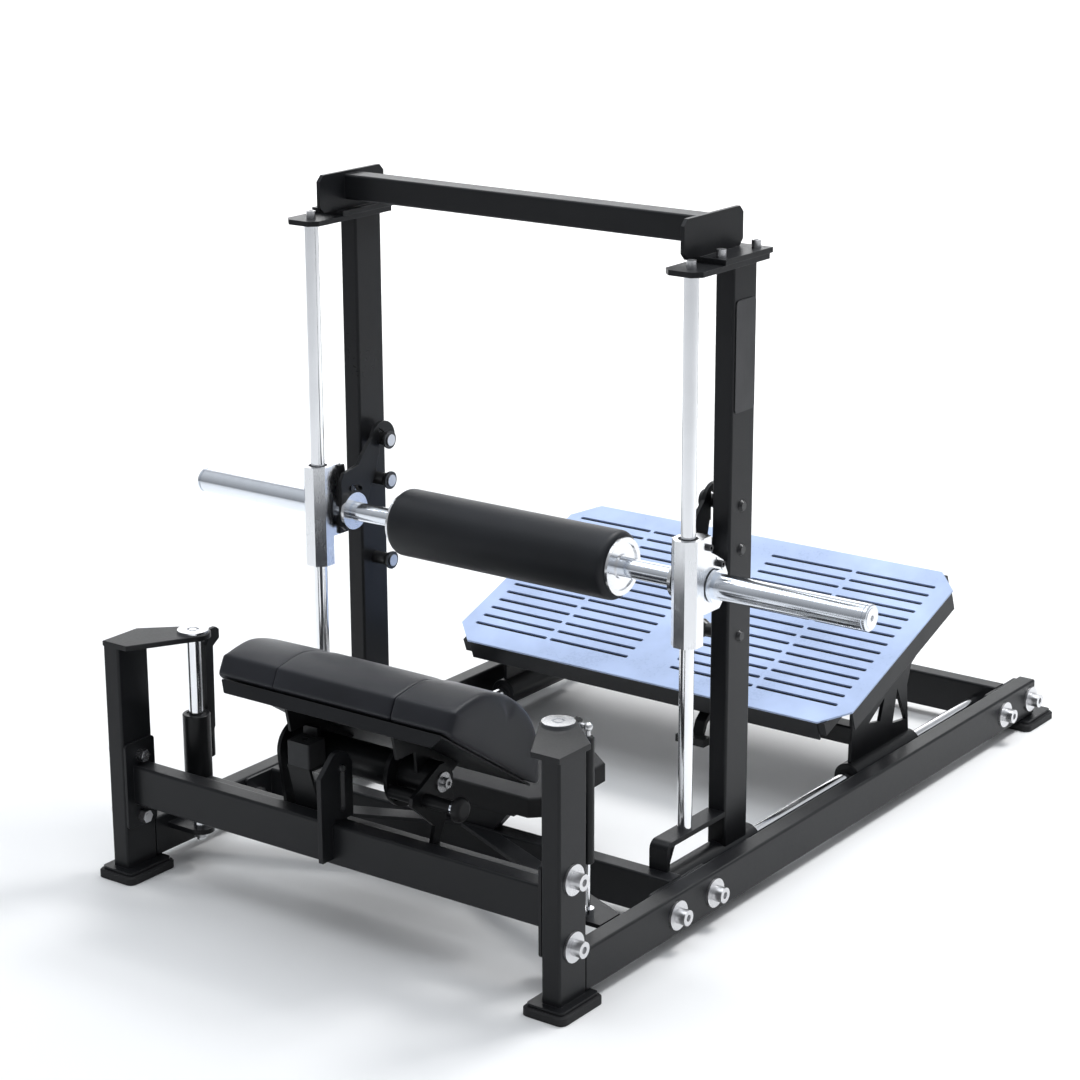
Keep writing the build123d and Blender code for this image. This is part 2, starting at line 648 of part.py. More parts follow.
with BuildPart() as guide_pin:
    with BuildSketch(side_plane(GUIDE_ARM_X - 5)):
        with Locations(yz(SLOT_Y, GUIDE_PIN_Z)):
            Circle(6)
    extrude(amount=BRACKET_X + PLATE_T + 3 - GUIDE_ARM_X + 5)
    with BuildSketch(side_plane(GUIDE_ARM_X - 5)):
        with Locations(yz(SLOT_Y, GUIDE_PIN_Z)):
            Circle(9)
    extrude(amount=5)
save(guide_pin.part, "lift_guide_pin")

# ================================================================ index plunger
KNOB_R = 24.0
with BuildPart() as plunger_pin:
    with BuildSketch(side_plane(HOUSING_X0 + 1)):
        with Locations(yz(PLUNGER_Y, PLUNGER_Z)):
            Circle(6)
    extrude(amount=HOUSING_X1 + 13 - HOUSING_X0)
    with BuildSketch(side_plane(HOUSING_X1 + 1)):
        with Locations(yz(PLUNGER_Y, PLUNGER_Z)):
            Circle(12)
    extrude(amount=4)
save(plunger_pin.part, "plunger_pin")

with BuildPart() as plunger_knob:
    with BuildSketch(side_plane(HOUSING_X1 + 5)):
        with Locations(yz(PLUNGER_Y, PLUNGER_Z)):
            Circle(11)
    extrude(amount=9)
    with BuildSketch(side_plane(HOUSING_X1 + 14)):
        with Locations(yz(PLUNGER_Y, PLUNGER_Z)):
            Circle(KNOB_R)
    extrude(amount=14)
    fillet(plunger_knob.edges().group_by(Axis.X)[-1], radius=11)
    with BuildSketch(side_plane(HOUSING_X1 + 5)):
        with Locations(yz(PLUNGER_Y, PLUNGER_Z)):
            Circle(6)
    extrude(amount=9, mode=Mode.SUBTRACT)
save(plunger_knob.part, "plunger_knob")

# ================================================================ tilting bench
# local frame of the bench board: local x runs back down the slope, local y runs up out of the cushion
tilt = math.radians(BENCH_TILT)


def bench_point(along, above):
    """Side view point: along the board from its front edge, above the underside of the cushion."""
    dy = along * math.cos(tilt) + above * math.sin(tilt)
    dz = -along * math.sin(tilt) + above * math.cos(tilt)
    return yz(BENCH_EDGE_Y + dy, BENCH_EDGE_Z + dz)


PIVOT_TUBE_R = 35.0
with BuildPart() as pivot_tube:
    with BuildSketch(side_plane(LEFT_CHEEK_X + CHEEK_T + 0.3)):
        with Locations(yz(PIVOT_Y, PIVOT_Z)):
            Circle(PIVOT_TUBE_R)
            Circle(SHAFT_PIVOT_R + RUN_GAP, mode=Mode.SUBTRACT)
    extrude(amount=RIGHT_CHEEK_X - LEFT_CHEEK_X - CHEEK_T - 0.6)
save(pivot_tube.part, "pivot_tube")

PAN_T = 4.0
INDEX_X = 70.0
INDEX_R = 64.0
INDEX_T = 8.0
INDEX_STEP = 12.5
index_radius = math.hypot(PLUNGER_Y - PIVOT_Y, PLUNGER_Z - PIVOT_Z)
index_angle = math.degrees(math.atan2(PLUNGER_Z - PIVOT_Z, PLUNGER_Y - PIVOT_Y))
with BuildPart() as index_plate:
    with BuildSketch(side_plane(INDEX_X)):
        with Locations(yz(PIVOT_Y, PIVOT_Z)):
            Circle(INDEX_R)
            Circle(PIVOT_TUBE_R, mode=Mode.SUBTRACT)
        with Locations(yz(PIVOT_Y + 60, PIVOT_Z)):
            Rectangle(80, 160, mode=Mode.SUBTRACT)
        for step in (-1, 0, 1, 2):
            hole = math.radians(index_angle + step * INDEX_STEP)
            hole_y = PIVOT_Y + index_radius * math.cos(hole)
            hole_z = PIVOT_Z + index_radius * math.sin(hole)
            with Locations(yz(hole_y, hole_z)):
                Circle(5.5, mode=Mode.SUBTRACT)
        with BuildLine():
            Polyline(
                bench_point(-100, -PAN_T), bench_point(BENCH_LEN, -PAN_T), bench_point(BENCH_LEN, 80),
                bench_point(-100, 80), bench_point(-100, -PAN_T),
            )
        make_face(mode=Mode.SUBTRACT)
    extrude(amount=INDEX_T)
save(index_plate.part, "index_plate")

# folded steel pan under the cushion: a plate with a skirt along the front and the ends
PAN_HALF_W = 258.0
SKIRT_HALF_W = 243.0
PAN_DEPTH = 25.0
skirt_y, skirt_z = bench_point(4 + PAN_T / 2, 0)
skirt_plane = Plane(
    origin=(0, skirt_y, skirt_z),
    x_dir=(1, 0, 0),
    z_dir=(0, -math.cos(tilt), math.sin(tilt)),
)
with BuildPart() as pan:
    with BuildSketch(side_plane(-PAN_HALF_W)):
        with BuildLine():
            Polyline(
                bench_point(4, -0.3), bench_point(BENCH_LEN - 6, -0.3),
                bench_point(BENCH_LEN - 6, -PAN_T), bench_point(4 + PAN_T, -PAN_T),
                bench_point(4 + PAN_T, -PAN_DEPTH), bench_point(4, -PAN_DEPTH), bench_point(4, -0.3),
            )
        make_face()
    extrude(amount=2 * PAN_HALF_W)
    # the ends of the skirt are cut on the slant
    with BuildSketch(skirt_plane):
        for sx, side in SIDES:
            with BuildLine():
                Polyline(
                    (sx * PAN_HALF_W, -PAN_T), (sx * SKIRT_HALF_W, -PAN_DEPTH), (sx * SKIRT_HALF_W, -PAN_DEPTH - 5),
                    (sx * (PAN_HALF_W + 5), -PAN_DEPTH - 5), (sx * (PAN_HALF_W + 5), -PAN_T), (sx * PAN_HALF_W, -PAN_T),
                )
            make_face()
    extrude(amount=8, both=True, mode=Mode.SUBTRACT)
save(pan.part, "bench_pan")

# hangers between the pan and the pivot tube
HANGER_T = 6.0
with BuildPart() as hangers:
    for x in (-134.0, 118.0):
        with BuildSketch(side_plane(x)):
            with BuildLine():
                Polyline(
                    bench_point(38, -PAN_T), bench_point(270, -PAN_T), bench_point(250, -40),
                    yz(190, 313), yz(160, 275), yz(130, 313), yz(124, 365), yz(72, 365),
                    bench_point(38, -PAN_T),
                )
            make_face()
            with Locations(yz(PIVOT_Y, PIVOT_Z)):
                Circle(PIVOT_TUBE_R, mode=Mode.SUBTRACT)
        extrude(amount=HANGER_T)
    # narrow foot that comes down on the rear edge of the stop block
    with Locations((-117, back(117), STOP_Z + STOP_H + 0.3)):
        Box(34, 9, 19, align=(Align.CENTER, Align.CENTER, Align.MIN))
save(hangers.part, "bench_hangers")

# the cushion: flat underside, short front and rear faces, domed back
with BuildPart() as cushion:
    with BuildSketch(side_plane(-BENCH_HALF_W)):
        with BuildLine():
            Polyline(bench_point(BENCH_LEN, 0), bench_point(0, 0), bench_point(-6, 45))
            Spline(
                bench_point(-6, 45), bench_point(56, 99), bench_point(140, 120),
                bench_point(216, 113), bench_point(276, 77), bench_point(BENCH_LEN, 14),
            )
            Line(bench_point(BENCH_LEN, 14), bench_point(BENCH_LEN, 0))
        make_face()
    extrude(amount=2 * BENCH_HALF_W)
save(cushion.part, "bench_cushion")

# ================================================================ bar carriage
OCT_FLAT = 56.0
BLOCK_Z0 = 520.0
BLOCK_Z1 = 725.0
LUG_HALF = 25.0
bar_rod_points = [(sx * UPRIGHT_X, back(BAR_ROD_Y)) for sx, _ in SIDES]
with BuildPart() as blocks:
    with BuildSketch(Plane.XY.offset(BLOCK_Z0)):
        with Locations(*bar_rod_points):
            RegularPolygon(OCT_FLAT / 2, 8, major_radius=False, rotation=22.5)
    extrude(amount=BLOCK_Z1 - BLOCK_Z0)
    for sx, side in SIDES:
        with BuildSketch(side_plane(sx * UPRIGHT_X)):
            with BuildLine():
                Polyline(
                    yz(535, 578), yz(600, 578), yz(622, 600), yz(627, 640), yz(612, 668),
                    yz(586, 684), yz(570, 692), yz(570, BLOCK_Z1), yz(535, BLOCK_Z1), yz(535, 578),
                )
            make_face()
        extrude(amount=LUG_HALF, both=True)
    with BuildSketch(Plane.XY.offset(BLOCK_Z0)):
        with Locations(*bar_rod_points):
            Circle(BUSH_R)
    extrude(amount=BLOCK_Z1 - BLOCK_Z0, mode=Mode.SUBTRACT)
    for sx, side in SIDES:
        with BuildSketch(side_plane(sx * UPRIGHT_X)):
            with Locations(yz(BAR_Y, BAR_Z)):
                Circle(JOURNAL_R + RUN_GAP)
        extrude(amount=LUG_HALF, both=True, mode=Mode.SUBTRACT)
        # saw cut that lets the lug clamp
        with Locations((sx * (UPRIGHT_X + 12), back(604), 656)):
            Box(26.2, 2, 60, rotation=(38, 0, 0), mode=Mode.SUBTRACT)
save(blocks.part, "guide_blocks")

with BuildPart() as bushes:
    for sx, side in SIDES:
        for z in (BLOCK_Z0, BLOCK_Z1 - 43):
            with BuildSketch(Plane.XY.offset(z)):
                with Locations((sx * UPRIGHT_X, back(BAR_ROD_Y))):
                    Circle(BUSH_R)
                    Circle(ROD_R + RUN_GAP, mode=Mode.SUBTRACT)
            extrude(amount=40)
save(bushes.part, "guide_bushes")

# black plates on the inner faces of the blocks
guide_face = UPRIGHT_X - LUG_HALF - 5
with BuildPart() as hook_guides:
    for sx, side in SIDES:
        with BuildSketch(side_plane(sx * guide_face)):
            with BuildLine():
                Polyline(
                    yz(559, 580), yz(600, 580), yz(614, 600), yz(616, 650), yz(584, 684),
                    yz(576, 722), yz(559, 722), yz(559, 580),
                )
            make_face()
            with Locations(yz(BAR_Y, BAR_Z)):
                Circle(JOURNAL_R + 1, mode=Mode.SUBTRACT)
        extrude(amount=sx * 5)
save(hook_guides.part, "hook_guide_plates")

# pins that limit the hooks, and the clamp screws of the blocks
HOOK_PIN_R = 47.0
HOOK_PIN_ANGLE = 94.0
pin_y = BAR_Y + HOOK_PIN_R * math.cos(math.radians(HOOK_PIN_ANGLE))
pin_z = BAR_Z + HOOK_PIN_R * math.sin(math.radians(HOOK_PIN_ANGLE))
with BuildPart() as block_screws:
    for sx, side in SIDES:
        with BuildSketch(side_plane(sx * (guide_face - 20))):
            with Locations(yz(pin_y, pin_z)):
                Circle(4.5)
        extrude(amount=sx * 20)
        for d, z in ((598.0, 665.0), (556.0, 706.0)):
            with BuildSketch(side_plane(sx * (UPRIGHT_X + LUG_HALF))):
                with Locations(yz(d, z)):
                    Circle(6.5)
                    RegularPolygon(3.5, 6, mode=Mode.SUBTRACT)
            extrude(amount=sx * 9)
save(block_screws.part, "guide_block_screws")

# ================================================================ bar with its hooks
journal_in = 390.0
journal_out = UPRIGHT_X + LUG_HALF + 2
with BuildPart() as bar_shaft:
    with BuildSketch(side_plane(-BAR_END_X + 6)):
        with Locations(yz(BAR_Y, BAR_Z)):
            Circle(SHAFT_R)
    extrude(amount=2 * (BAR_END_X - 6))
    for sx, side in SIDES:
        with BuildSketch(side_plane(sx * journal_in)):
            with Locations(yz(BAR_Y, BAR_Z)):
                Circle(JOURNAL_R)
        extrude(amount=sx * (journal_out - journal_in))
save(bar_shaft.part, "bar_shaft")

HOOK_X = 396.0
HOOK_T = 8.0
HOOK_HEAD_R = 37.0
TOP_PEG_Z = PEG_HEIGHTS[-1]
peg_distance = math.hypot(PEG_Y - BAR_Y, TOP_PEG_Z - BAR_Z)
throat_r = peg_distance + PEG_NECK_R + 0.4
with BuildPart() as hooks:
    for sx, side in SIDES:
        with BuildSketch(side_plane(sx * HOOK_X)):
            with BuildLine():
                Polyline(
                    yz(546, 600), yz(546, 694), yz(556, 709), yz(600, 717), yz(614, 735),
                    yz(645, 764), yz(681, 792), yz(681, TOP_PEG_Z), yz(667, 736), yz(656, 692),
                    yz(636, 660), yz(619, 620), yz(604, 596), yz(580, 588), yz(558, 590), yz(546, 600),
                )
            make_face()
            with Locations(yz(PEG_Y, TOP_PEG_Z)):
                Circle(HOOK_HEAD_R)
        extrude(amount=sx * HOOK_T)
        # throat: the arm stays outside a circle about the bar axis, so the hook can swing clear
        with BuildSketch(side_plane(sx * HOOK_X)):
            with BuildLine():
                Line(yz(667, 600), yz(667, BAR_Z + math.sqrt(throat_r**2 - (667 - BAR_Y) ** 2)))
                RadiusArc(
                    yz(667, BAR_Z + math.sqrt(throat_r**2 - (667 - BAR_Y) ** 2)),
                    yz(BAR_Y + throat_r, BAR_Z),
                    throat_r,
                )
                Polyline(yz(BAR_Y + throat_r, BAR_Z), yz(BAR_Y + throat_r, 600), yz(667, 600))
            make_face()
        extrude(amount=sx * HOOK_T, mode=Mode.SUBTRACT)
        with BuildSketch(side_plane(sx * HOOK_X)):
            with Locations(yz(BAR_Y, BAR_Z)):
                Circle(JOURNAL_R)
            # curved slot for the pin
            for angle in range(58, 96, 2):
                slot_y = BAR_Y + HOOK_PIN_R * math.cos(math.radians(angle))
                slot_z = BAR_Z + HOOK_PIN_R * math.sin(math.radians(angle))
                with Locations(yz(slot_y, slot_z)):
                    Circle(5.5)
        extrude(amount=sx * HOOK_T, mode=Mode.SUBTRACT)
save(hooks.part, "rack_hooks")

with BuildPart() as bar_collars:
    for sx, side in SIDES:
        for x, radius, width in ((HOOK_X - 7, 38.0, 7.0), (HOOK_X + HOOK_T, 30.0, 3.0)):
            with BuildSketch(side_plane(sx * x)):
                with Locations(yz(BAR_Y, BAR_Z)):
                    Circle(radius)
                    Circle(JOURNAL_R, mode=Mode.SUBTRACT)
            extrude(amount=sx * width)
        # screwed plugs in the ends of the bar
        with BuildSketch(side_plane(sx * (BAR_END_X - 6))):
            with Locations(yz(BAR_Y, BAR_Z)):
                Circle(SHAFT_R)
        extrude(amount=sx * 7)
        with BuildSketch(side_plane(sx * (BAR_END_X - 3))):
            with Locations(yz(BAR_Y, BAR_Z)):
                RegularPolygon(6, 6)
        extrude(amount=sx * 4, mode=Mode.SUBTRACT)
save(bar_collars.part, "bar_collars")

# ================================================================ weight sleeves
sleeve_in = journal_out + 0.3
for sx, side in SIDES:
    with BuildPart() as sleeve:
        with BuildSketch(side_plane(sx * sleeve_in)):
            with Locations(yz(BAR_Y, BAR_Z)):
                Circle(32)
        extrude(amount=sx * 8)
        with BuildSketch(side_plane(sx * sleeve_in)):
            with Locations(yz(BAR_Y, BAR_Z)):
                Circle(SLEEVE_R)
        extrude(amount=sx * (BAR_END_X - sleeve_in))
        chamfer(sleeve.edges().group_by(Axis.X)[-1 if sx > 0 else 0], length=2)
        # groove that marks off the end cap
        with BuildSketch(side_plane(sx * (BAR_END_X - 9))):
            with Locations(yz(BAR_Y, BAR_Z)):
                Circle(SLEEVE_R + 1)
                Circle(SLEEVE_R - 1.5, mode=Mode.SUBTRACT)
        extrude(amount=sx * 2.5, mode=Mode.SUBTRACT)
        with BuildSketch(side_plane(sx * sleeve_in)):
            with Locations(yz(BAR_Y, BAR_Z)):
                Circle(SHAFT_R + RUN_GAP)
        extrude(amount=sx * (BAR_END_X - sleeve_in), mode=Mode.SUBTRACT)
    save(sleeve.part, f"weight_sleeve_{side}")

# ================================================================ roller pad
ROLLER_HALF = 261.0
ROLLER_R = 69.0
CORE_R = 24.0
with BuildPart() as roller_core:
    with BuildSketch(side_plane(-ROLLER_HALF)):
        with Locations(yz(BAR_Y, BAR_Z)):
            Circle(CORE_R)
            Circle(SHAFT_R + RUN_GAP, mode=Mode.SUBTRACT)
    extrude(amount=2 * ROLLER_HALF)
save(roller_core.part, "roller_core")

with BuildPart() as roller_foam:
    with BuildSketch(side_plane(-ROLLER_HALF)):
        with Locations(yz(BAR_Y, BAR_Z)):
            Circle(ROLLER_R)
            Circle(CORE_R, mode=Mode.SUBTRACT)
    extrude(amount=2 * ROLLER_HALF)
    fillet(roller_foam.edges().filter_by(GeomType.CIRCLE).sort_by(SortBy.RADIUS)[-2:], radius=9)
save(roller_foam.part, "roller_foam")

with BuildPart() as roller_discs:
    for sx, side in SIDES:
        with BuildSketch(side_plane(sx * ROLLER_HALF)):
            with Locations(yz(BAR_Y, BAR_Z)):
                Circle(56)
                Circle(SHAFT_R + RUN_GAP, mode=Mode.SUBTRACT)
        extrude(amount=sx * 6)
        with BuildSketch(side_plane(sx * (ROLLER_HALF + 3))):
            with Locations(yz(BAR_Y, BAR_Z)):
                Circle(46)
                Circle(24, mode=Mode.SUBTRACT)
        extrude(amount=sx * 3, mode=Mode.SUBTRACT)
save(roller_discs.part, "roller_discs")

# ================================================================ footplate carriage
slope = math.radians(PLATE_TILT)
tread_plane = Plane(
    origin=(0, back(PLATE_EDGE_Y), PLATE_EDGE_Z),
    x_dir=(1, 0, 0),
    z_dir=(0, -math.sin(slope), math.cos(slope)),
)
TREAD_T = 4.0
SLOT_W = 9.0
CORNER = 53.0
SLOT_ROWS = 15
SLOT_COLUMNS = ((-464.0, -271.0), (-262.0, -58.0), (50.0, 254.0), (263.0, 456.0))
with BuildPart() as tread:
    with BuildSketch(tread_plane):
        with Locations((0, PLATE_LEN / 2)):
            Rectangle(2 * PLATE_HALF_W, PLATE_LEN)
        chamfer(vertices(), length=CORNER)
        for row in range(SLOT_ROWS):
            row_at = 63.0 + row * 30.5
            for left, right in SLOT_COLUMNS:
                with Locations(((left + right) / 2, row_at)):
                    SlotOverall(right - left, SLOT_W, mode=Mode.SUBTRACT)
    extrude(amount=-TREAD_T)
save(tread.part, "footplate_tread")



def tread_z(distance):
    """Height of the top of the tread a distance behind the front faces of the posts."""
    return PLATE_EDGE_Z + (distance - PLATE_EDGE_Y) * math.tan(slope)


def under_z(distance):
    """Height of the underside of the tread a distance behind the front faces of the posts."""
    return tread_z(distance) - TREAD_T / math.cos(slope)


PEDAL_X = 146.0
PEDAL_PIVOT_Y = 1075.0
PEDAL_PIVOT_Z = 180.0
TRAY_DEPTH = 44.0
with BuildPart() as tray:
    with BuildSketch(tread_plane.offset(-TREAD_T)):
        with Locations((0, PLATE_LEN / 2)):
            Rectangle(2 * PLATE_HALF_W - 4, PLATE_LEN - 4)
        chamfer(vertices(), length=CORNER)
    extrude(amount=-2)
    # lips along the four straight sides
    with BuildSketch(tread_plane.offset(-TREAD_T)):
        with Locations(*[(sx * (PLATE_HALF_W - 4), PLATE_LEN / 2) for sx, _ in SIDES]):
            Rectangle(4, PLATE_LEN - 4 - 2 * CORNER)
        with Locations((0, 4), (0, PLATE_LEN - 4)):
            Rectangle(2 * PLATE_HALF_W - 4 - 2 * CORNER, 4)
    extrude(amount=-TRAY_DEPTH)
    with BuildSketch(tread_plane.offset(-TREAD_T)):
        with Locations(*[(x, PLATE_LEN / 2) for x in (-UPRIGHT_X, 0, UPRIGHT_X)]):
            Rectangle(30, PLATE_LEN - 8)
    extrude(amount=-30)
    # two ears and a pin that carry the lock pedal
    for x in (PEDAL_X - 22, PEDAL_X + 16):
        with BuildSketch(side_plane(x)):
            with BuildLine():
                Polyline(
                    yz(1060, under_z(1060)), yz(1095, under_z(1095)), yz(1088, 168),
                    yz(1062, 168), yz(1060, under_z(1060)),
                )
            make_face()
        extrude(amount=6)
    with BuildSketch(side_plane(PEDAL_X - 26)):
        with Locations(yz(PEDAL_PIVOT_Y, PEDAL_PIVOT_Z)):
            Circle(6)
    extrude(amount=52)
    # beam under the tread that joins the front lip, the ribs and the ears
    with BuildSketch(side_plane(-UPRIGHT_X)):
        with BuildLine():
            Polyline(
                yz(1060, under_z(1060)), yz(1095, under_z(1095)), yz(1095, under_z(1095) - 10),
                yz(1060, under_z(1060) - 10), yz(1060, under_z(1060)),
            )
        make_face()
    extrude(amount=2 * UPRIGHT_X)
save(tray.part, "footplate_tray")


FOOT_BEARING_Y0 = 1141.0
FOOT_BEARING_Y1 = 1401.0
tray_under = (TREAD_T + 30) / math.cos(slope)
with BuildPart() as foot_bearings:
    with BuildSketch(Plane.XZ.offset(-back(FOOT_BEARING_Y0))):
        with Locations(*[(sx * UPRIGHT_X, RAIL_MID_Z) for sx, _ in SIDES]):
            Circle(BASE_TUBE_R)
    extrude(amount=-(FOOT_BEARING_Y1 - FOOT_BEARING_Y0))
    chamfer(foot_bearings.edges().filter_by(GeomType.CIRCLE), length=1.5)
    with BuildSketch(Plane.XZ.offset(-back(FOOT_BEARING_Y0))):
        with Locations(*[(sx * UPRIGHT_X, RAIL_MID_Z) for sx, _ in SIDES]):
            Circle(BUSH_R)
    extrude(amount=-(FOOT_BEARING_Y1 - FOOT_BEARING_Y0), mode=Mode.SUBTRACT)
save(foot_bearings.part, "footplate_bearings")

# side brackets with two triangular windows, joined by a square cross brace
with BuildPart() as side_brackets:
    for sx, side in SIDES:
        with BuildSketch(side_plane(sx * UPRIGHT_X)):
            with BuildLine():
                Polyline(
                    yz(1150, RAIL_MID_Z + 29), yz(1392, RAIL_MID_Z + 29), yz(1380, 196), yz(1396, 240),
                    yz(1500, 300), yz(1505, tread_z(1505) - tray_under),
                    yz(1154, tread_z(1154) - tray_under), yz(1150, RAIL_MID_Z + 29),
                )
            make_face()
            with BuildLine():
                Polyline(yz(1220, 158), yz(1284, 196), yz(1268, 148), yz(1220, 158))
            make_face(mode=Mode.SUBTRACT)
            with BuildLine():
                Polyline(yz(1338, 200), yz(1322, 128), yz(1380, 120), yz(1338, 200))
            make_face(mode=Mode.SUBTRACT)
        extrude(amount=4, both=True)
    with BuildSketch(side_plane(-UPRIGHT_X)):
        with Locations(yz(1170, 150)):
            RectangleRounded(40, 40, 4)
            RectangleRounded(34, 34, 2, mode=Mode.SUBTRACT)
    extrude(amount=2 * UPRIGHT_X)
    with BuildSketch(Plane.XZ.offset(-back(FOOT_BEARING_Y0))):
        with Locations(*[(sx * UPRIGHT_X, RAIL_MID_Z) for sx, _ in SIDES]):
            Circle(BASE_TUBE_R)
    extrude(amount=-(FOOT_BEARING_Y1 - FOOT_BEARING_Y0), mode=Mode.SUBTRACT)
save(side_brackets.part, "footplate_brackets")

with BuildPart() as foot_bushes:
    for sx, side in SIDES:
        for d in (FOOT_BEARING_Y0 + 2, FOOT_BEARING_Y1 - 42):
            with BuildSketch(Plane.XZ.offset(-back(d))):
                with Locations((sx * UPRIGHT_X, RAIL_MID_Z)):
                    Circle(BUSH_R)
                    Circle(ROD_R + RUN_GAP, mode=Mode.SUBTRACT)
            extrude(amount=-40)
save(foot_bushes.part, "footplate_bushes")

# pedal that unlocks the carriage, hung below the front of the tray
with BuildPart() as pedal:
    with BuildSketch(side_plane(PEDAL_X)):
        with BuildLine():
            Polyline(
                yz(1066, 190), yz(1090, 190), yz(1090, 168), yz(1052, 146), yz(1036, 112),
                yz(1004, 112), yz(1004, 120), yz(1030, 120), yz(1042, 152), yz(1066, 172), yz(1066, 190),
            )
        make_face()
        with Locations(yz(PEDAL_PIVOT_Y, PEDAL_PIVOT_Z)):
            Circle(6 + RUN_GAP, mode=Mode.SUBTRACT)
    extrude(amount=12, both=True)
    with Locations((PEDAL_X, back(1016), 112)):
        Box(70, 28, 16, align=(Align.CENTER, Align.CENTER, Align.MIN))
save(pedal.part, "lock_pedal")
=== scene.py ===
import json
import math

import bmesh
import bpy
from mathutils import Matrix, Vector


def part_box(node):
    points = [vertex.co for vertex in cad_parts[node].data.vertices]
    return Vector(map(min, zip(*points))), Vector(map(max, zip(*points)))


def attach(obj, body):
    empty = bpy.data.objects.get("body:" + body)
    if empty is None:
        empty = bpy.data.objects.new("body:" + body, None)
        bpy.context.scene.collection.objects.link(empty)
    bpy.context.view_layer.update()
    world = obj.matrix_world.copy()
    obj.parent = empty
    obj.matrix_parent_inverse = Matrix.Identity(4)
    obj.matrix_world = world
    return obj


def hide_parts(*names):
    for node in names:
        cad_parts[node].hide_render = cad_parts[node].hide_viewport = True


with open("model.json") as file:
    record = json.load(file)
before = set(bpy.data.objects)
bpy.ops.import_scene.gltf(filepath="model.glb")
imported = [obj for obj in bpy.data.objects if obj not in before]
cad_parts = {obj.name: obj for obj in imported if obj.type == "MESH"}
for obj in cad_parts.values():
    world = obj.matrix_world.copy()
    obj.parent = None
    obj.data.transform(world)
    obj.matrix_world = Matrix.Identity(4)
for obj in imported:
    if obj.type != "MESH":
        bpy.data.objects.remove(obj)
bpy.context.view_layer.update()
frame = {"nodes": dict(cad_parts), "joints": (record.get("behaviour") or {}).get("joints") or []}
scene = bpy.context.scene
nodes = frame["nodes"]
joints = {j["name"]: j for j in frame["joints"]}


# ------------------------------------------------------------------ materials
def colour(r, g, b):
    return (r, g, b, 1.0)


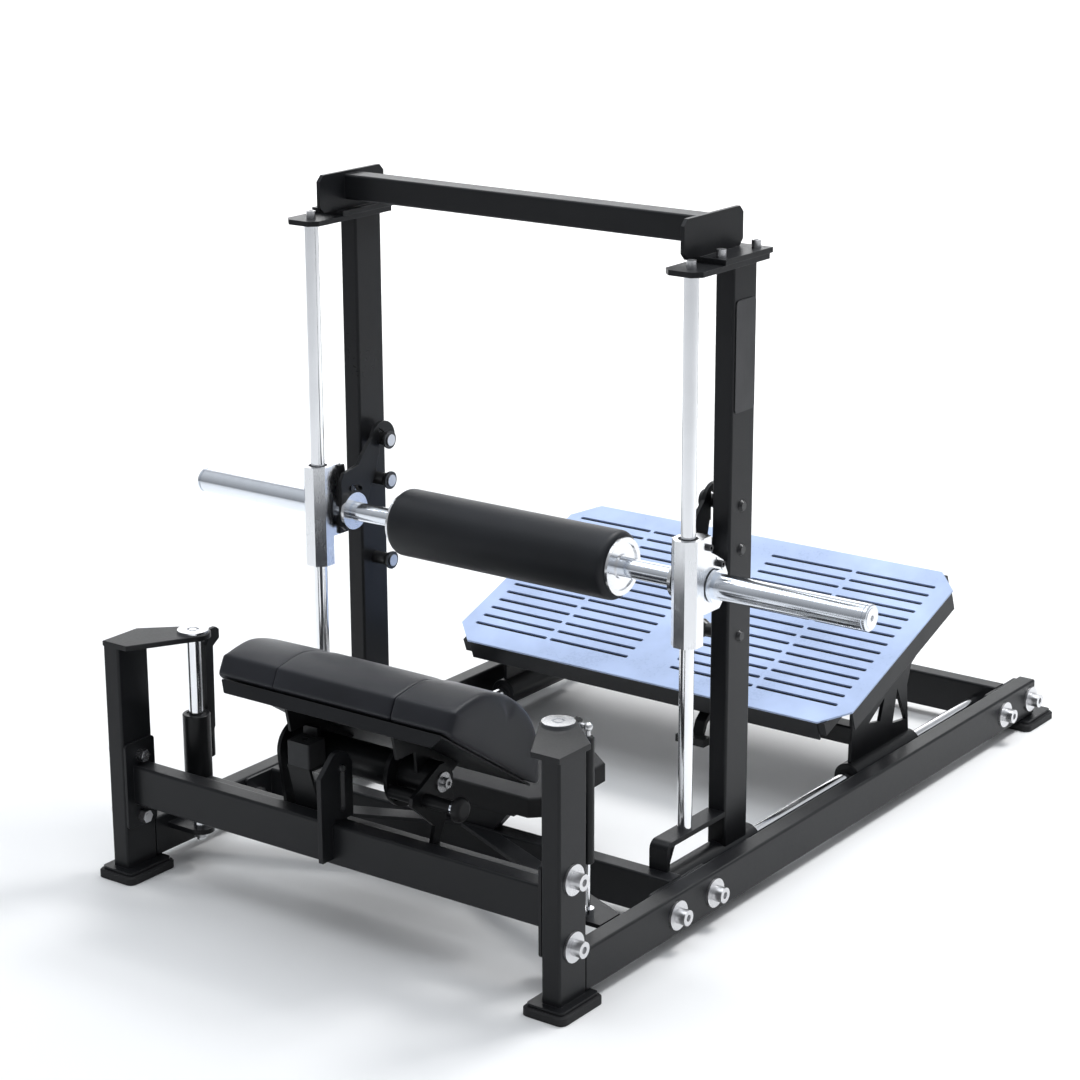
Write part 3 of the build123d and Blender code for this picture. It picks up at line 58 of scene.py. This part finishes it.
class Shader:
    """A Principled material whose colour, roughness and bump come from node textures."""

    def __init__(self, name, rough, metallic=0.0, **fixed):
        self.mat = bpy.data.materials.new(name)
        self.mat.use_nodes = True
        self.tree = self.mat.node_tree
        self.out = self.tree.nodes["Principled BSDF"]
        self.out.inputs["Roughness"].default_value = rough
        self.out.inputs["Metallic"].default_value = metallic
        for key, value in fixed.items():
            self.out.inputs[key.replace("_", " ")].default_value = value
        self.rough = rough
        self.normal = None
        self.coords = self.tree.nodes.new("ShaderNodeTexCoord").outputs["Object"]

    def node(self, kind, **values):
        made = self.tree.nodes.new(kind)
        for key, value in values.items():
            if hasattr(made, key):
                setattr(made, key, value)
            else:
                made.inputs[key.replace("_", " ")].default_value = value
        return made

    def link(self, a, b):
        self.tree.links.new(a, b)

    def stretched(self, stretch):
        mapping = self.node("ShaderNodeMapping")
        mapping.inputs["Scale"].default_value = stretch
        self.link(self.coords, mapping.inputs["Vector"])
        return mapping.outputs["Vector"]

    def noise(self, scale, detail=3.0, stretch=(1, 1, 1), rough=0.55):
        tex = self.node("ShaderNodeTexNoise", Scale=scale, Detail=detail, Roughness=rough)
        self.link(self.stretched(stretch), tex.inputs["Vector"])
        return tex.outputs["Fac"]

    def cells(self, scale, feature="F1", stretch=(1, 1, 1), warp=0.0):
        tex = self.node("ShaderNodeTexVoronoi", feature=feature, Scale=scale)
        vector = self.stretched(stretch)
        if warp:
            shift = self.node("ShaderNodeTexNoise", Scale=scale * 0.6, Detail=2.0)
            self.link(vector, shift.inputs["Vector"])
            moved = self.node("ShaderNodeVectorMath", operation="MULTIPLY_ADD")
            moved.inputs[1].default_value = (warp, warp, warp)
            self.link(shift.outputs["Color"], moved.inputs[0])
            self.link(vector, moved.inputs[2])
            vector = moved.outputs[0]
        self.link(vector, tex.inputs["Vector"])
        return tex.outputs["Distance"]

    def ramp(self, value, low, high, start=0.3, end=0.7):
        ramp = self.node("ShaderNodeValToRGB")
        ramp.color_ramp.elements[0].position = start
        ramp.color_ramp.elements[1].position = end
        ramp.color_ramp.elements[0].color = low
        ramp.color_ramp.elements[1].color = high
        self.link(value, ramp.inputs["Fac"])
        return ramp.outputs["Color"]

    def span(self, value, low, high, start=0.3, end=0.7):
        span = self.node("ShaderNodeMapRange")
        for key, number in (("From Min", start), ("From Max", end), ("To Min", low), ("To Max", high)):
            span.inputs[key].default_value = number
        self.link(value, span.inputs["Value"])
        return span.outputs["Result"]

    def mix(self, amount, a, b):
        mix = self.node("ShaderNodeMix", data_type="RGBA")
        self.link(amount, mix.inputs["Factor"])
        for socket, value in ((mix.inputs[6], a), (mix.inputs[7], b)):
            if isinstance(value, tuple):
                socket.default_value = value
            else:
                self.link(value, socket)
        return mix.outputs[2]

    def math(self, operation, a, b):
        made = self.node("ShaderNodeMath", operation=operation)
        for socket, value in zip(made.inputs, (a, b)):
            if isinstance(value, (int, float)):
                socket.default_value = value
            else:
                self.link(value, socket)
        return made.outputs[0]

    def edges(self, radius):
        """0 on faces, up to 1 along convex and concave edges, from the rounded normal."""
        bevel = self.node("ShaderNodeBevel", samples=4, Radius=radius)
        geometry = self.node("ShaderNodeNewGeometry")
        dot = self.node("ShaderNodeVectorMath", operation="DOT_PRODUCT")
        self.link(bevel.outputs["Normal"], dot.inputs[0])
        self.link(geometry.outputs["Normal"], dot.inputs[1])
        return self.span(dot.outputs["Value"], 1.0, 0.0, 0.72, 0.99)

    def bump(self, value, strength, depth):
        bump = self.node("ShaderNodeBump", Strength=strength, Distance=depth)
        self.link(value, bump.inputs["Height"])
        if self.normal:
            self.link(self.normal, bump.inputs["Normal"])
        self.normal = bump.outputs["Normal"]

    def done(self, paint, rough=None):
        self.link(paint, self.out.inputs["Base Color"])
        if rough is not None:
            self.link(rough, self.out.inputs["Roughness"])
        if self.normal:
            self.link(self.normal, self.out.inputs["Normal"])
        return self.mat


def powder_coat(name, tone, rough, edge_wear_and_highlight_tone):
    """Satin powder coat: fine orange peel, faint clouds in the tone, paler edges that are partly wear
    and partly a painted highlight.
    """
    s = Shader(name, rough, Specular_IOR_Level=0.22)
    cloud = s.noise(5.0, 4.0)
    fine = s.noise(160.0, 2.0)
    s.normal = s.node("ShaderNodeBevel", samples=4, Radius=0.0012).outputs["Normal"]
    low = colour(*[c * 0.84 for c in tone])
    high = colour(*[c * 1.14 for c in tone])
    paint = s.ramp(cloud, low, high)
    # paler tone along the edges, broken up by noise: partly wear, partly a painted highlight where edges
    # catch the light
    edge_wear_and_highlight = s.math("MULTIPLY", s.edges(0.0018), s.span(s.noise(45.0, 4.0), 0.25, 1.0, 0.42, 0.66))
    paint = s.mix(edge_wear_and_highlight, paint, colour(*edge_wear_and_highlight_tone))
    roughness = s.math("ADD", s.span(cloud, rough - 0.04, rough + 0.05), s.span(fine, -0.02, 0.03))
    s.bump(s.noise(520.0, 2.0), 0.16, 0.0006)
    return s.done(paint, roughness)


def metal(name, tone, rough, stretch=(1, 1, 1), grain=900.0, strength=0.015, spots=0.04):
    """Bare or plated metal with a drawn or turned grain and soft handling marks."""
    s = Shader(name, rough, 1.0)
    cloud = s.noise(14.0, 4.0)
    lines = s.noise(grain, 2.0, stretch)
    low = colour(*[c * (1 - spots) for c in tone])
    high = colour(*[min(c * (1 + spots), 1.0) for c in tone])
    s.bump(lines, strength, 0.0003)
    roughness = s.math("ADD", s.span(cloud, rough * 0.8, rough * 1.25), s.span(lines, -0.03, 0.03))
    return s.done(s.ramp(cloud, low, high), roughness)


def two_part(name, channel, limit, near, far, rough):
    """One (tone, is it metal) pair up to a limit on one coordinate's size, another beyond it."""
    s = Shader(name, rough)
    split = s.node("ShaderNodeSeparateXYZ")
    s.link(s.coords, split.inputs[0])
    beyond = s.math("GREATER_THAN", s.math("ABSOLUTE", split.outputs[channel], 0.0), limit)
    cloud = s.noise(16.0, 4.0)
    s.bump(s.noise(800.0, 2.0), 0.04, 0.0003)
    metal_on = s.math("GREATER_THAN", beyond, 0.5) if far[1] else s.math("LESS_THAN", beyond, 0.5)
    s.link(metal_on, s.out.inputs["Metallic"])
    tones = []
    for tone in (near[0], far[0]):
        low = colour(*[c * 0.9 for c in tone])
        high = colour(*[c * 1.1 for c in tone])
        tones.append(s.ramp(cloud, low, high))
    return s.done(s.mix(beyond, tones[0], tones[1]), s.span(cloud, rough - 0.03, rough + 0.05))


def moulded(name, tone, rough, grain=700.0, strength=0.25):
    """Moulded rubber or plastic with a fine spark-eroded texture and slow changes of tone."""
    s = Shader(name, rough, Specular_IOR_Level=0.25)
    cloud = s.noise(18.0, 4.0)
    low = colour(*[c * 0.8 for c in tone])
    high = colour(*[c * 1.25 for c in tone])
    s.bump(s.noise(grain, 3.0), strength, 0.0006)
    return s.done(s.ramp(cloud, low, high), s.span(cloud, rough - 0.05, rough + 0.06))


def vinyl(name, tone, rough, grain, depth, sheen=0.0):
    """Upholstery vinyl: pebbled leather grain, finer pores in it, slow changes of tone, painted shade in
    the grain's cracks.
    """
    coat = {"Coat_Weight": 0.04, "Coat_Roughness": 0.35, "Sheen_Weight": sheen}
    s = Shader(name, rough, Specular_IOR_Level=0.3, **coat)
    pebble = s.cells(grain, "F1", (1, 1, 1), 0.0009)
    cracks = s.cells(grain * 1.7, "DISTANCE_TO_EDGE", (1, 1, 1), 0.0006)
    cloud = s.noise(7.0, 4.0)
    low = colour(*[c * 0.78 for c in tone])
    high = colour(*[c * 1.2 for c in tone])
    paint = s.ramp(cloud, low, high)
    # painted shade: the tone is darkened to half along the cracks of the grain
    paint = s.mix(s.span(cracks, 0.35, 0.0, 0.0, 0.09), paint, colour(*[c * 0.5 for c in tone]))
    s.bump(s.span(pebble, 1.0, 0.0, 0.0, 0.7), depth, 0.0005)
    s.bump(s.span(cracks, 0.0, 1.0, 0.0, 0.12), depth * 0.8, 0.0003)
    return s.done(paint, s.span(cloud, rough - 0.04, rough + 0.06))


BLACK = powder_coat("frame_paint", (0.0105, 0.011, 0.0125), 0.33, (0.035, 0.036, 0.038))
BLACK_FINE = powder_coat("moving_frame_paint", (0.009, 0.0095, 0.0105), 0.32, (0.03, 0.03, 0.032))
TREAD = powder_coat("tread_paint", (0.43, 0.53, 0.76), 0.30, (0.56, 0.63, 0.76))
CHROME_Z = metal("chrome_upright_rods", (0.88, 0.89, 0.91), 0.13, (1, 1, 0.02))
CHROME_Y = metal("chrome_level_rods", (0.88, 0.89, 0.91), 0.13, (1, 0.02, 1))
CHROME_X = metal("chrome_bar", (0.80, 0.84, 0.90), 0.15, (0.02, 1, 1), 900.0, 0.02)
CHROME = metal("chrome_discs", (0.84, 0.85, 0.87), 0.20, (1, 1, 1), 600.0, 0.02)
SATIN = metal("satin_bolts", (0.68, 0.68, 0.69), 0.30, (0.2, 1, 1), 700.0, 0.06)
BLOCK = metal("machined_block", (0.86, 0.87, 0.89), 0.24, (1, 1, 0.05), 800.0, 0.02, 0.03)
BUSH = moulded("bush_polymer", (0.012, 0.012, 0.013), 0.42, 900.0, 0.1)
BLACKENED = ((0.012, 0.012, 0.013), False)
PLATED = ((0.7, 0.7, 0.71), True)
TOP_BOLT_Z = 1.2
TOP_SCREWS = two_part("upright_bolt_heads", "Z", TOP_BOLT_Z, BLACKENED, PLATED, 0.3)
PEG_STEEL = ((0.62, 0.63, 0.65), True)
PEG_BASE = ((0.014, 0.014, 0.015), False)
PEG_TIP_X = 0.3775
PEGS = two_part("rack_peg", "X", PEG_TIP_X, PEG_STEEL, PEG_BASE, 0.32)
OXIDE = metal("black_oxide", (0.06, 0.06, 0.063), 0.34, (1, 1, 1), 800.0, 0.06)
RUBBER = moulded("foot_rubber", (0.014, 0.014, 0.015), 0.58)
STOP_RUBBER = moulded("stop_rubber", (0.034, 0.035, 0.037), 0.5)
PLASTIC = moulded("black_moulding", (0.016, 0.016, 0.017), 0.42, 900.0, 0.15)
BADGE = metal("badge_plate", (0.075, 0.075, 0.078), 0.42, (1, 1, 0.03), 700.0, 0.08)
BENCH_VINYL = vinyl("bench_vinyl", (0.0115, 0.0125, 0.017), 0.36, 620.0, 0.22, 0.03)
ROLLER_VINYL = vinyl("roller_vinyl", (0.014, 0.0155, 0.019), 0.46, 800.0, 0.12)

LOOKS = {
    BLACK: (
        "front_post_right front_post_left side_rail_right side_rail_left front_crossbeam "
        "middle_crossmember rear_crossmember upright_right upright_left upright_tabs "
        "top_crossbar lift_stop_bracket footplate_tray footplate_bearings footplate_brackets bench_pan"
    ),
    BLACK_FINE: (
        "bench_bearings gas_strut_cylinders bench_carriage_beam pivot_cheeks pivot_tube index_plate "
        "bench_hangers hook_guide_plates rack_hooks lock_pedal plunger_housing"
    ),
    TREAD: "footplate_tread",
    CHROME_Z: "bar_rods bench_rods gas_strut_rods",
    CHROME_Y: "footplate_rods",
    CHROME_X: "bar_shaft weight_sleeve_right weight_sleeve_left plunger_pin",
    CHROME: "bench_rod_caps roller_discs bar_collars",
    SATIN: "frame_bolts frame_nuts gas_strut_ball_joints lift_guide_pin roller_core pivot_shaft",
    BLOCK: "guide_blocks",
    BUSH: "bench_bushes guide_bushes footplate_bushes",
    OXIDE: "guide_block_screws",
    TOP_SCREWS: "upright_bolts",
    PEGS: "rack_pegs",
    RUBBER: "foot_pads seat_board",
    STOP_RUBBER: "stop_block",
    PLASTIC: "rail_end_caps plunger_knob",
    BADGE: "upright_badges",
}
for material, names in LOOKS.items():
    for name in names.split():
        node = nodes[name]
        node.data.materials.clear()
        node.data.materials.append(material)


# ------------------------------------------------------------------ mesh helpers
def add_object(name, verts, faces, material):
    mesh = bpy.data.meshes.new(name)
    mesh.from_pydata([tuple(v) for v in verts], [], faces)
    bm = bmesh.new()
    bm.from_mesh(mesh)
    bmesh.ops.remove_doubles(bm, verts=bm.verts, dist=1e-5)
    bmesh.ops.recalc_face_normals(bm, faces=bm.faces)
    for face in bm.faces:
        face.smooth = True
    bm.to_mesh(mesh)
    bm.free()
    mesh.materials.append(material)
    obj = bpy.data.objects.new(name, mesh)
    scene.collection.objects.link(obj)
    return obj


def apply_modifiers(obj):
    bpy.context.view_layer.update()
    shown = obj.evaluated_get(bpy.context.evaluated_depsgraph_get())
    mesh = bpy.data.meshes.new_from_object(shown)
    obj.modifiers.clear()
    obj.data = mesh


def swell(obj, pressure, cap, pinned, frames=20):
    """Inflates a closed mesh with a short cloth run; no point moves further than the cap."""
    start = [v.co.copy() for v in obj.data.vertices]
    group = obj.vertex_groups.new(name="held")
    for index, weight in pinned.items():
        group.add([index], weight, "REPLACE")
    cloth = obj.modifiers.new("swell", "CLOTH")
    settings = cloth.settings
    settings.quality = 6
    settings.mass = 0.4
    settings.tension_stiffness = 40
    settings.compression_stiffness = 40
    settings.shear_stiffness = 15
    settings.bending_stiffness = 8
    settings.use_pressure = True
    settings.uniform_pressure_force = pressure
    settings.vertex_group_mass = "held"
    settings.effector_weights.gravity = 0
    cloth.collision_settings.use_collision = False
    cloth.collision_settings.use_self_collision = False
    cloth.point_cache.frame_start = 1
    cloth.point_cache.frame_end = frames
    for number in range(1, frames + 1):
        scene.frame_set(number)
    apply_modifiers(obj)
    obj.vertex_groups.clear()
    for vertex, old in zip(obj.data.vertices, start):
        step = vertex.co - old
        if step.length > cap:
            vertex.co = old + step * (cap / step.length)
    scene.frame_set(1)


def settle(obj, rounds):
    """Takes small pleats out of a swollen mesh."""
    smooth = obj.modifiers.new("settle", "SMOOTH")
    smooth.factor = 0.5
    smooth.iterations = rounds
    apply_modifiers(obj)


def subdivide(obj):
    sub = obj.modifiers.new("smooth", "SUBSURF")
    sub.levels = sub.render_levels = 1
    apply_modifiers(obj)


def smooth_shading(obj, degrees):
    for face in obj.data.polygons:
        face.use_smooth = True
    obj.data.set_sharp_from_angle(angle=math.radians(degrees))


# ------------------------------------------------------------------ bench cushion
low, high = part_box("bench_cushion")
TILT = math.radians(33.7)
POSTS_FRONT_Y = -0.924
EDGE_BEHIND_POSTS = 0.028
EDGE_Z = 0.456
EDGE = Vector((0.0, POSTS_FRONT_Y + EDGE_BEHIND_POSTS, EDGE_Z))
LENGTH = 0.324
HALF = high.x
DOWN = Vector((0, math.cos(TILT), -math.sin(TILT)))
OUT = Vector((0, math.sin(TILT), math.cos(TILT)))


def board(along, above, x=0.0):
    """Point on the bench: metres down the slope from the front edge, metres out of its board."""
    return EDGE + DOWN * along + OUT * above + Vector((x, 0, 0))


def curve_value(p, q, r, s, t):
    """One coordinate of the smooth curve between q and r, with p before and s after them."""
    square = 2 * p - 5 * q + 4 * r - s
    cube = 3 * q - p - 3 * r + s
    return 0.5 * (2 * q + (r - p) * t + square * t**2 + cube * t**3)


def spline(points, count):
    """Evenly spaced points on a smooth curve through the given 2-D points."""
    padded = [points[0]] + list(points) + [points[-1]]
    dense = []
    for a, b, c, d in zip(padded, padded[1:], padded[2:], padded[3:]):
        for step in range(40):
            t = step / 40
            dense.append(tuple(curve_value(p, q, r, s, t) for p, q, r, s in zip(a, b, c, d)))
    dense.append(points[-1])
    lengths = [0.0]
    for a, b in zip(dense, dense[1:]):
        lengths.append(lengths[-1] + math.dist(a, b))
    found, place = [], 0
    for step in range(count + 1):
        want = lengths[-1] * step / count
        while place < len(lengths) - 2 and lengths[place + 1] < want:
            place += 1
        gap = lengths[place + 1] - lengths[place]
        t = (want - lengths[place]) / gap if gap else 0
        found.append(tuple(a + (b - a) * t for a, b in zip(dense[place], dense[place + 1])))
    return found


FRONT_FACE = [(0.0, 0.001), (-0.006, 0.045)]
DOME = [(-0.006, 0.045), (0.056, 0.099), (0.140, 0.120), (0.216, 0.113), (0.276, 0.077), (LENGTH, 0.014)]
REAR_FACE = [(LENGTH, 0.014), (LENGTH, 0.001)]
SHRINK = 0.0030
PAD_PRESSURE = 4.0
PAD_RISE = 0.0026
SETTLE_ROUNDS = 3


def outline():
    """The cushion's side view from its front lower edge over the dome to its rear lower edge."""
    front = spline(FRONT_FACE, 7)
    dome = spline(DOME, 58)
    rear = spline(REAR_FACE, 3)
    return front + dome[1:] + rear[1:], len(front) - 1, len(front) + len(dome) - 2


def pad_section(name, x0, x1, round_left, round_right, shrink=SHRINK):
    """One upholstered block of the cushion between two planes across the bench."""
    path, crease, rear_crease = outline()
    count = len(path)
    inward = []
    for i, (a, b) in enumerate(path):
        p, q = path[max(i - 1, 0)], path[min(i + 1, count - 1)]
        t = Vector((q[0] - p[0], q[1] - p[1])).normalized()
        inward.append((t.y, -t.x))
    stations = []
    for side, radius in ((0, round_left), (1, round_right)):
        for step in range(5):
            turn = math.radians(90 * step / 4)
            depth = radius * (1 - math.cos(turn))
            inset = radius * (1 - math.sin(turn))
            stations.append((x1 - depth if side else x0 + depth, inset))
    middle = max(int((x1 - x0) / 0.007), 4)
    a, b = x0 + round_left, x1 - round_right
    for step in range(1, middle):
        stations.append((a + (b - a) * step / middle, 0.0))
    stations.sort()
    rows = 9
    verts, faces = [], []
    for x, inset in stations:
        for i, (along, above) in enumerate(path):
            u = along + inward[i][0] * (inset + shrink)
            v = max(above + inward[i][1] * (inset + shrink), 0.001)
            u = min(max(u, -0.006), LENGTH)
            verts.append(board(u, v, x))
    for k in range(len(stations) - 1):
        for i in range(count - 1):
            p = k * count + i
            faces.append((p, p + 1, p + count + 1, p + count))
    # underside
    base = len(verts)
    for k, (x, inset) in enumerate(stations):
        for j in range(rows + 1):
            first, last = verts[k * count], verts[k * count + count - 1]
            verts.append(first.lerp(last, j / rows))
    for k in range(len(stations) - 1):
        for j in range(rows):
            p = base + k * (rows + 1) + j
            faces.append((p, p + rows + 1, p + rows + 2, p + 1))
    # end faces, as rings that shrink toward the middle of the block
    for k in (0, len(stations) - 1):
        ring = [k * count + i for i in range(count)]
        ring += [base + k * (rows + 1) + j for j in range(rows - 1, 0, -1)]
        middle_point = sum((verts[i] for i in ring), Vector()) / len(ring)
        last = ring
        for step in range(1, 7):
            t = step / 7
            fresh = []
            for i in ring:
                fresh.append(len(verts))
                verts.append(verts[i].lerp(middle_point, t))
            for i in range(len(ring)):
                j = (i + 1) % len(ring)
                faces.append((last[i], last[j], fresh[j], fresh[i]))
            last = fresh
        centre = len(verts)
        verts.append(middle_point)
        for i in range(len(ring)):
            faces.append((last[i], last[(i + 1) % len(ring)], centre))
    obj = add_object(name, verts, faces, BENCH_VINYL)
    pinned = {}
    marks = [path[crease], path[rear_crease]]
    for vertex in obj.data.vertices:
        local = vertex.co - EDGE
        u, v = local.dot(DOWN), local.dot(OUT)
        near = min(math.hypot(u - m[0], v - m[1]) for m in marks)
        if v < 0.004:
            pinned[vertex.index] = 1.0
        elif near < 0.0055:
            pinned[vertex.index] = 0.75
    swell(obj, PAD_PRESSURE, PAD_RISE, pinned)
    settle(obj, SETTLE_ROUNDS)
    subdivide(obj)
    smooth_shading(obj, 50)
    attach(obj, "bench")
    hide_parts("bench_cushion")
    return obj


SEAM = HALF / 2
pad_section("cushion_left", -HALF + 0.0005, -SEAM, 0.010, 0.0025)
pad_section("cushion_middle", -SEAM, SEAM, 0.0025, 0.006)
pad_section("cushion_right", SEAM, HALF - 0.0005, 0.007, 0.010, 0.0016)

# ------------------------------------------------------------------ roller pad
axis = Vector(joints["roller_spin"]["pos_m"])
low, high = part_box("roller_foam")
ROLLER_R = (high.z - low.z) / 2
ROLLER_HALF = high.x
ROLLER_HELD_R = 0.054
ROLLER_PRESSURE = 3.0
ROLLER_RISE = 0.0011


def turned(name, profile, centre, segments, material):
    """A body of revolution about the X axis from (x, radius) points."""
    verts, faces = [], []
    for x, radius in profile:
        for k in range(segments):
            turn = 2 * math.pi * k / segments
            y = centre.y + radius * math.cos(turn)
            z = centre.z + radius * math.sin(turn)
            verts.append(Vector((x, y, z)))
    for i in range(len(profile) - 1):
        for k in range(segments):
            j = (k + 1) % segments
            this, following = i * segments, (i + 1) * segments
            faces.append((this + k, this + j, following + j, following + k))
    return add_object(name, verts, faces, material)


def roller_profile():
    """Half section of the foam roller: bore, flat end, rounded shoulder, long barrel."""
    shoulder, bore, slack = 0.013, 0.0245, 0.0012
    outer = ROLLER_R - slack
    half = []
    for radius in (bore, 0.034, 0.044, 0.052):
        half.append((ROLLER_HALF - 0.001, radius))
    for step in range(7):
        turn = math.radians(15 * step)
        x = ROLLER_HALF - 0.001 - shoulder + shoulder * math.cos(turn)
        half.append((x, outer - shoulder + shoulder * math.sin(turn)))
    barrel = 64
    edge = half[-1][0]
    body = [(edge - 2 * edge * k / barrel, outer) for k in range(1, barrel)]
    mirrored = [(-x, radius) for x, radius in reversed(half)]
    ring = half + body + mirrored
    return ring + [ring[0]]


roller = turned("roller_pad", roller_profile(), axis, 96, ROLLER_VINYL)
held = {}
for vertex in roller.data.vertices:
    radius = math.hypot(vertex.co.y - axis.y, vertex.co.z - axis.z)
    if radius < ROLLER_HELD_R:
        held[vertex.index] = 1.0
swell(roller, ROLLER_PRESSURE, ROLLER_RISE, held)
subdivide(roller)
smooth_shading(roller, 60)
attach(roller, "roller")
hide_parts("roller_foam")


# ------------------------------------------------------------------ floor, light, camera
def light_material(name, tone, rough):
    s = Shader(name, rough)
    grain = s.noise(3.0, 3.0)
    return s.done(s.ramp(grain, colour(*[c * 0.995 for c in tone]), colour(*tone)))


floor_mesh = bpy.data.meshes.new("floor")
SWEEP_AT, SWEEP_R, REACH, WALL_TOP = 5.0, 3.0, 12.0, 9.0
profile = [(-REACH, 0.0), (SWEEP_AT, 0.0)]
for step in range(1, 25):
    turn = math.radians(90 * step / 24)
    profile.append((SWEEP_AT + SWEEP_R * math.sin(turn), SWEEP_R * (1 - math.cos(turn))))
profile.append((SWEEP_AT + SWEEP_R, WALL_TOP))
floor_verts, floor_faces = [], []
for y, z in profile:
    floor_verts += [(-REACH, y, z - 0.0005), (REACH, y, z - 0.0005)]
for i in range(len(profile) - 1):
    floor_faces.append((2 * i, 2 * i + 1, 2 * i + 3, 2 * i + 2))
floor_mesh.from_pydata(floor_verts, [], floor_faces)
floor_mesh.materials.append(light_material("studio_floor", (0.86, 0.86, 0.86), 0.75))
for face in floor_mesh.polygons:
    face.use_smooth = True
floor = bpy.data.objects.new("floor", floor_mesh)
scene.collection.objects.link(floor)
VIEW_AZIMUTH = math.radians(36.2)
VIEW_ELEVATION = math.radians(16.63)
VIEW_ROLL = math.radians(-0.2)
CAMERA_PLACE = (3.0654, -4.4344, 2.1595)
CAMERA_LENS = 91.79
floor.rotation_euler = (0, 0, VIEW_AZIMUTH)


def area_light(name, place, target, size, power, tint=(1, 1, 1)):
    data = bpy.data.lights.new(name, "AREA")
    data.shape = "RECTANGLE"
    data.size, data.size_y = size
    data.energy = power
    data.color = tint
    lamp = bpy.data.objects.new(name, data)
    lamp.location = place
    lamp.rotation_euler = (Vector(target) - Vector(place)).to_track_quat("-Z", "Y").to_euler()
    scene.collection.objects.link(lamp)
    return lamp


area_light("key", (1.2, 2.8, 5.2), (0, 0, 0.3), (1.8, 1.8), 205)
area_light("overhead", (-0.4, -0.4, 5.2), (-0.4, -0.4, 0), (5.0, 5.0), 145, (0.92, 0.96, 1.0))
area_light("backdrop", (-3.0, 4.1, 5.0), (-5.0, 7.0, 2.0), (5.0, 1.6), 280)

world = bpy.data.worlds.new("studio")
scene.world = world
world.use_nodes = True
# the surroundings are bright overhead and behind the machine, dimmer in front of it
sky = world.node_tree
toward_light = sky.nodes.new("ShaderNodeVectorMath")
toward_light.operation = "DOT_PRODUCT"
toward_light.inputs[1].default_value = (-0.15, 0.50, 0.85)
sky.links.new(sky.nodes.new("ShaderNodeTexCoord").outputs["Generated"], toward_light.inputs[0])
fade = sky.nodes.new("ShaderNodeMapRange")
for key, number in (("From Min", -0.5), ("From Max", 0.7), ("To Min", 0.20), ("To Max", 0.68)):
    fade.inputs[key].default_value = number
sky.links.new(toward_light.outputs["Value"], fade.inputs["Value"])
sky.links.new(fade.outputs["Result"], sky.nodes["Background"].inputs["Strength"])
sky.nodes["Background"].inputs["Color"].default_value = (0.93, 0.96, 1.0, 1.0)

right = Vector((math.cos(VIEW_AZIMUTH), math.sin(VIEW_AZIMUTH), 0))
toward = Vector(
    (
        math.sin(VIEW_AZIMUTH) * math.cos(VIEW_ELEVATION),
        -math.cos(VIEW_AZIMUTH) * math.cos(VIEW_ELEVATION),
        math.sin(VIEW_ELEVATION),
    )
)
above = toward.cross(right)
turn_right = right * math.cos(VIEW_ROLL) + above * math.sin(VIEW_ROLL)
turn_above = above * math.cos(VIEW_ROLL) - right * math.sin(VIEW_ROLL)
rotation = Matrix((turn_right, turn_above, toward)).transposed()
lens = bpy.data.cameras.new("camera")
lens.lens = CAMERA_LENS
lens.sensor_width = 36.0
lens.clip_end = 60.0
camera = bpy.data.objects.new("camera", lens)
camera.location = CAMERA_PLACE
camera.rotation_euler = rotation.to_euler()
scene.collection.objects.link(camera)
scene.camera = camera
scene.view_settings.view_transform = "Standard"
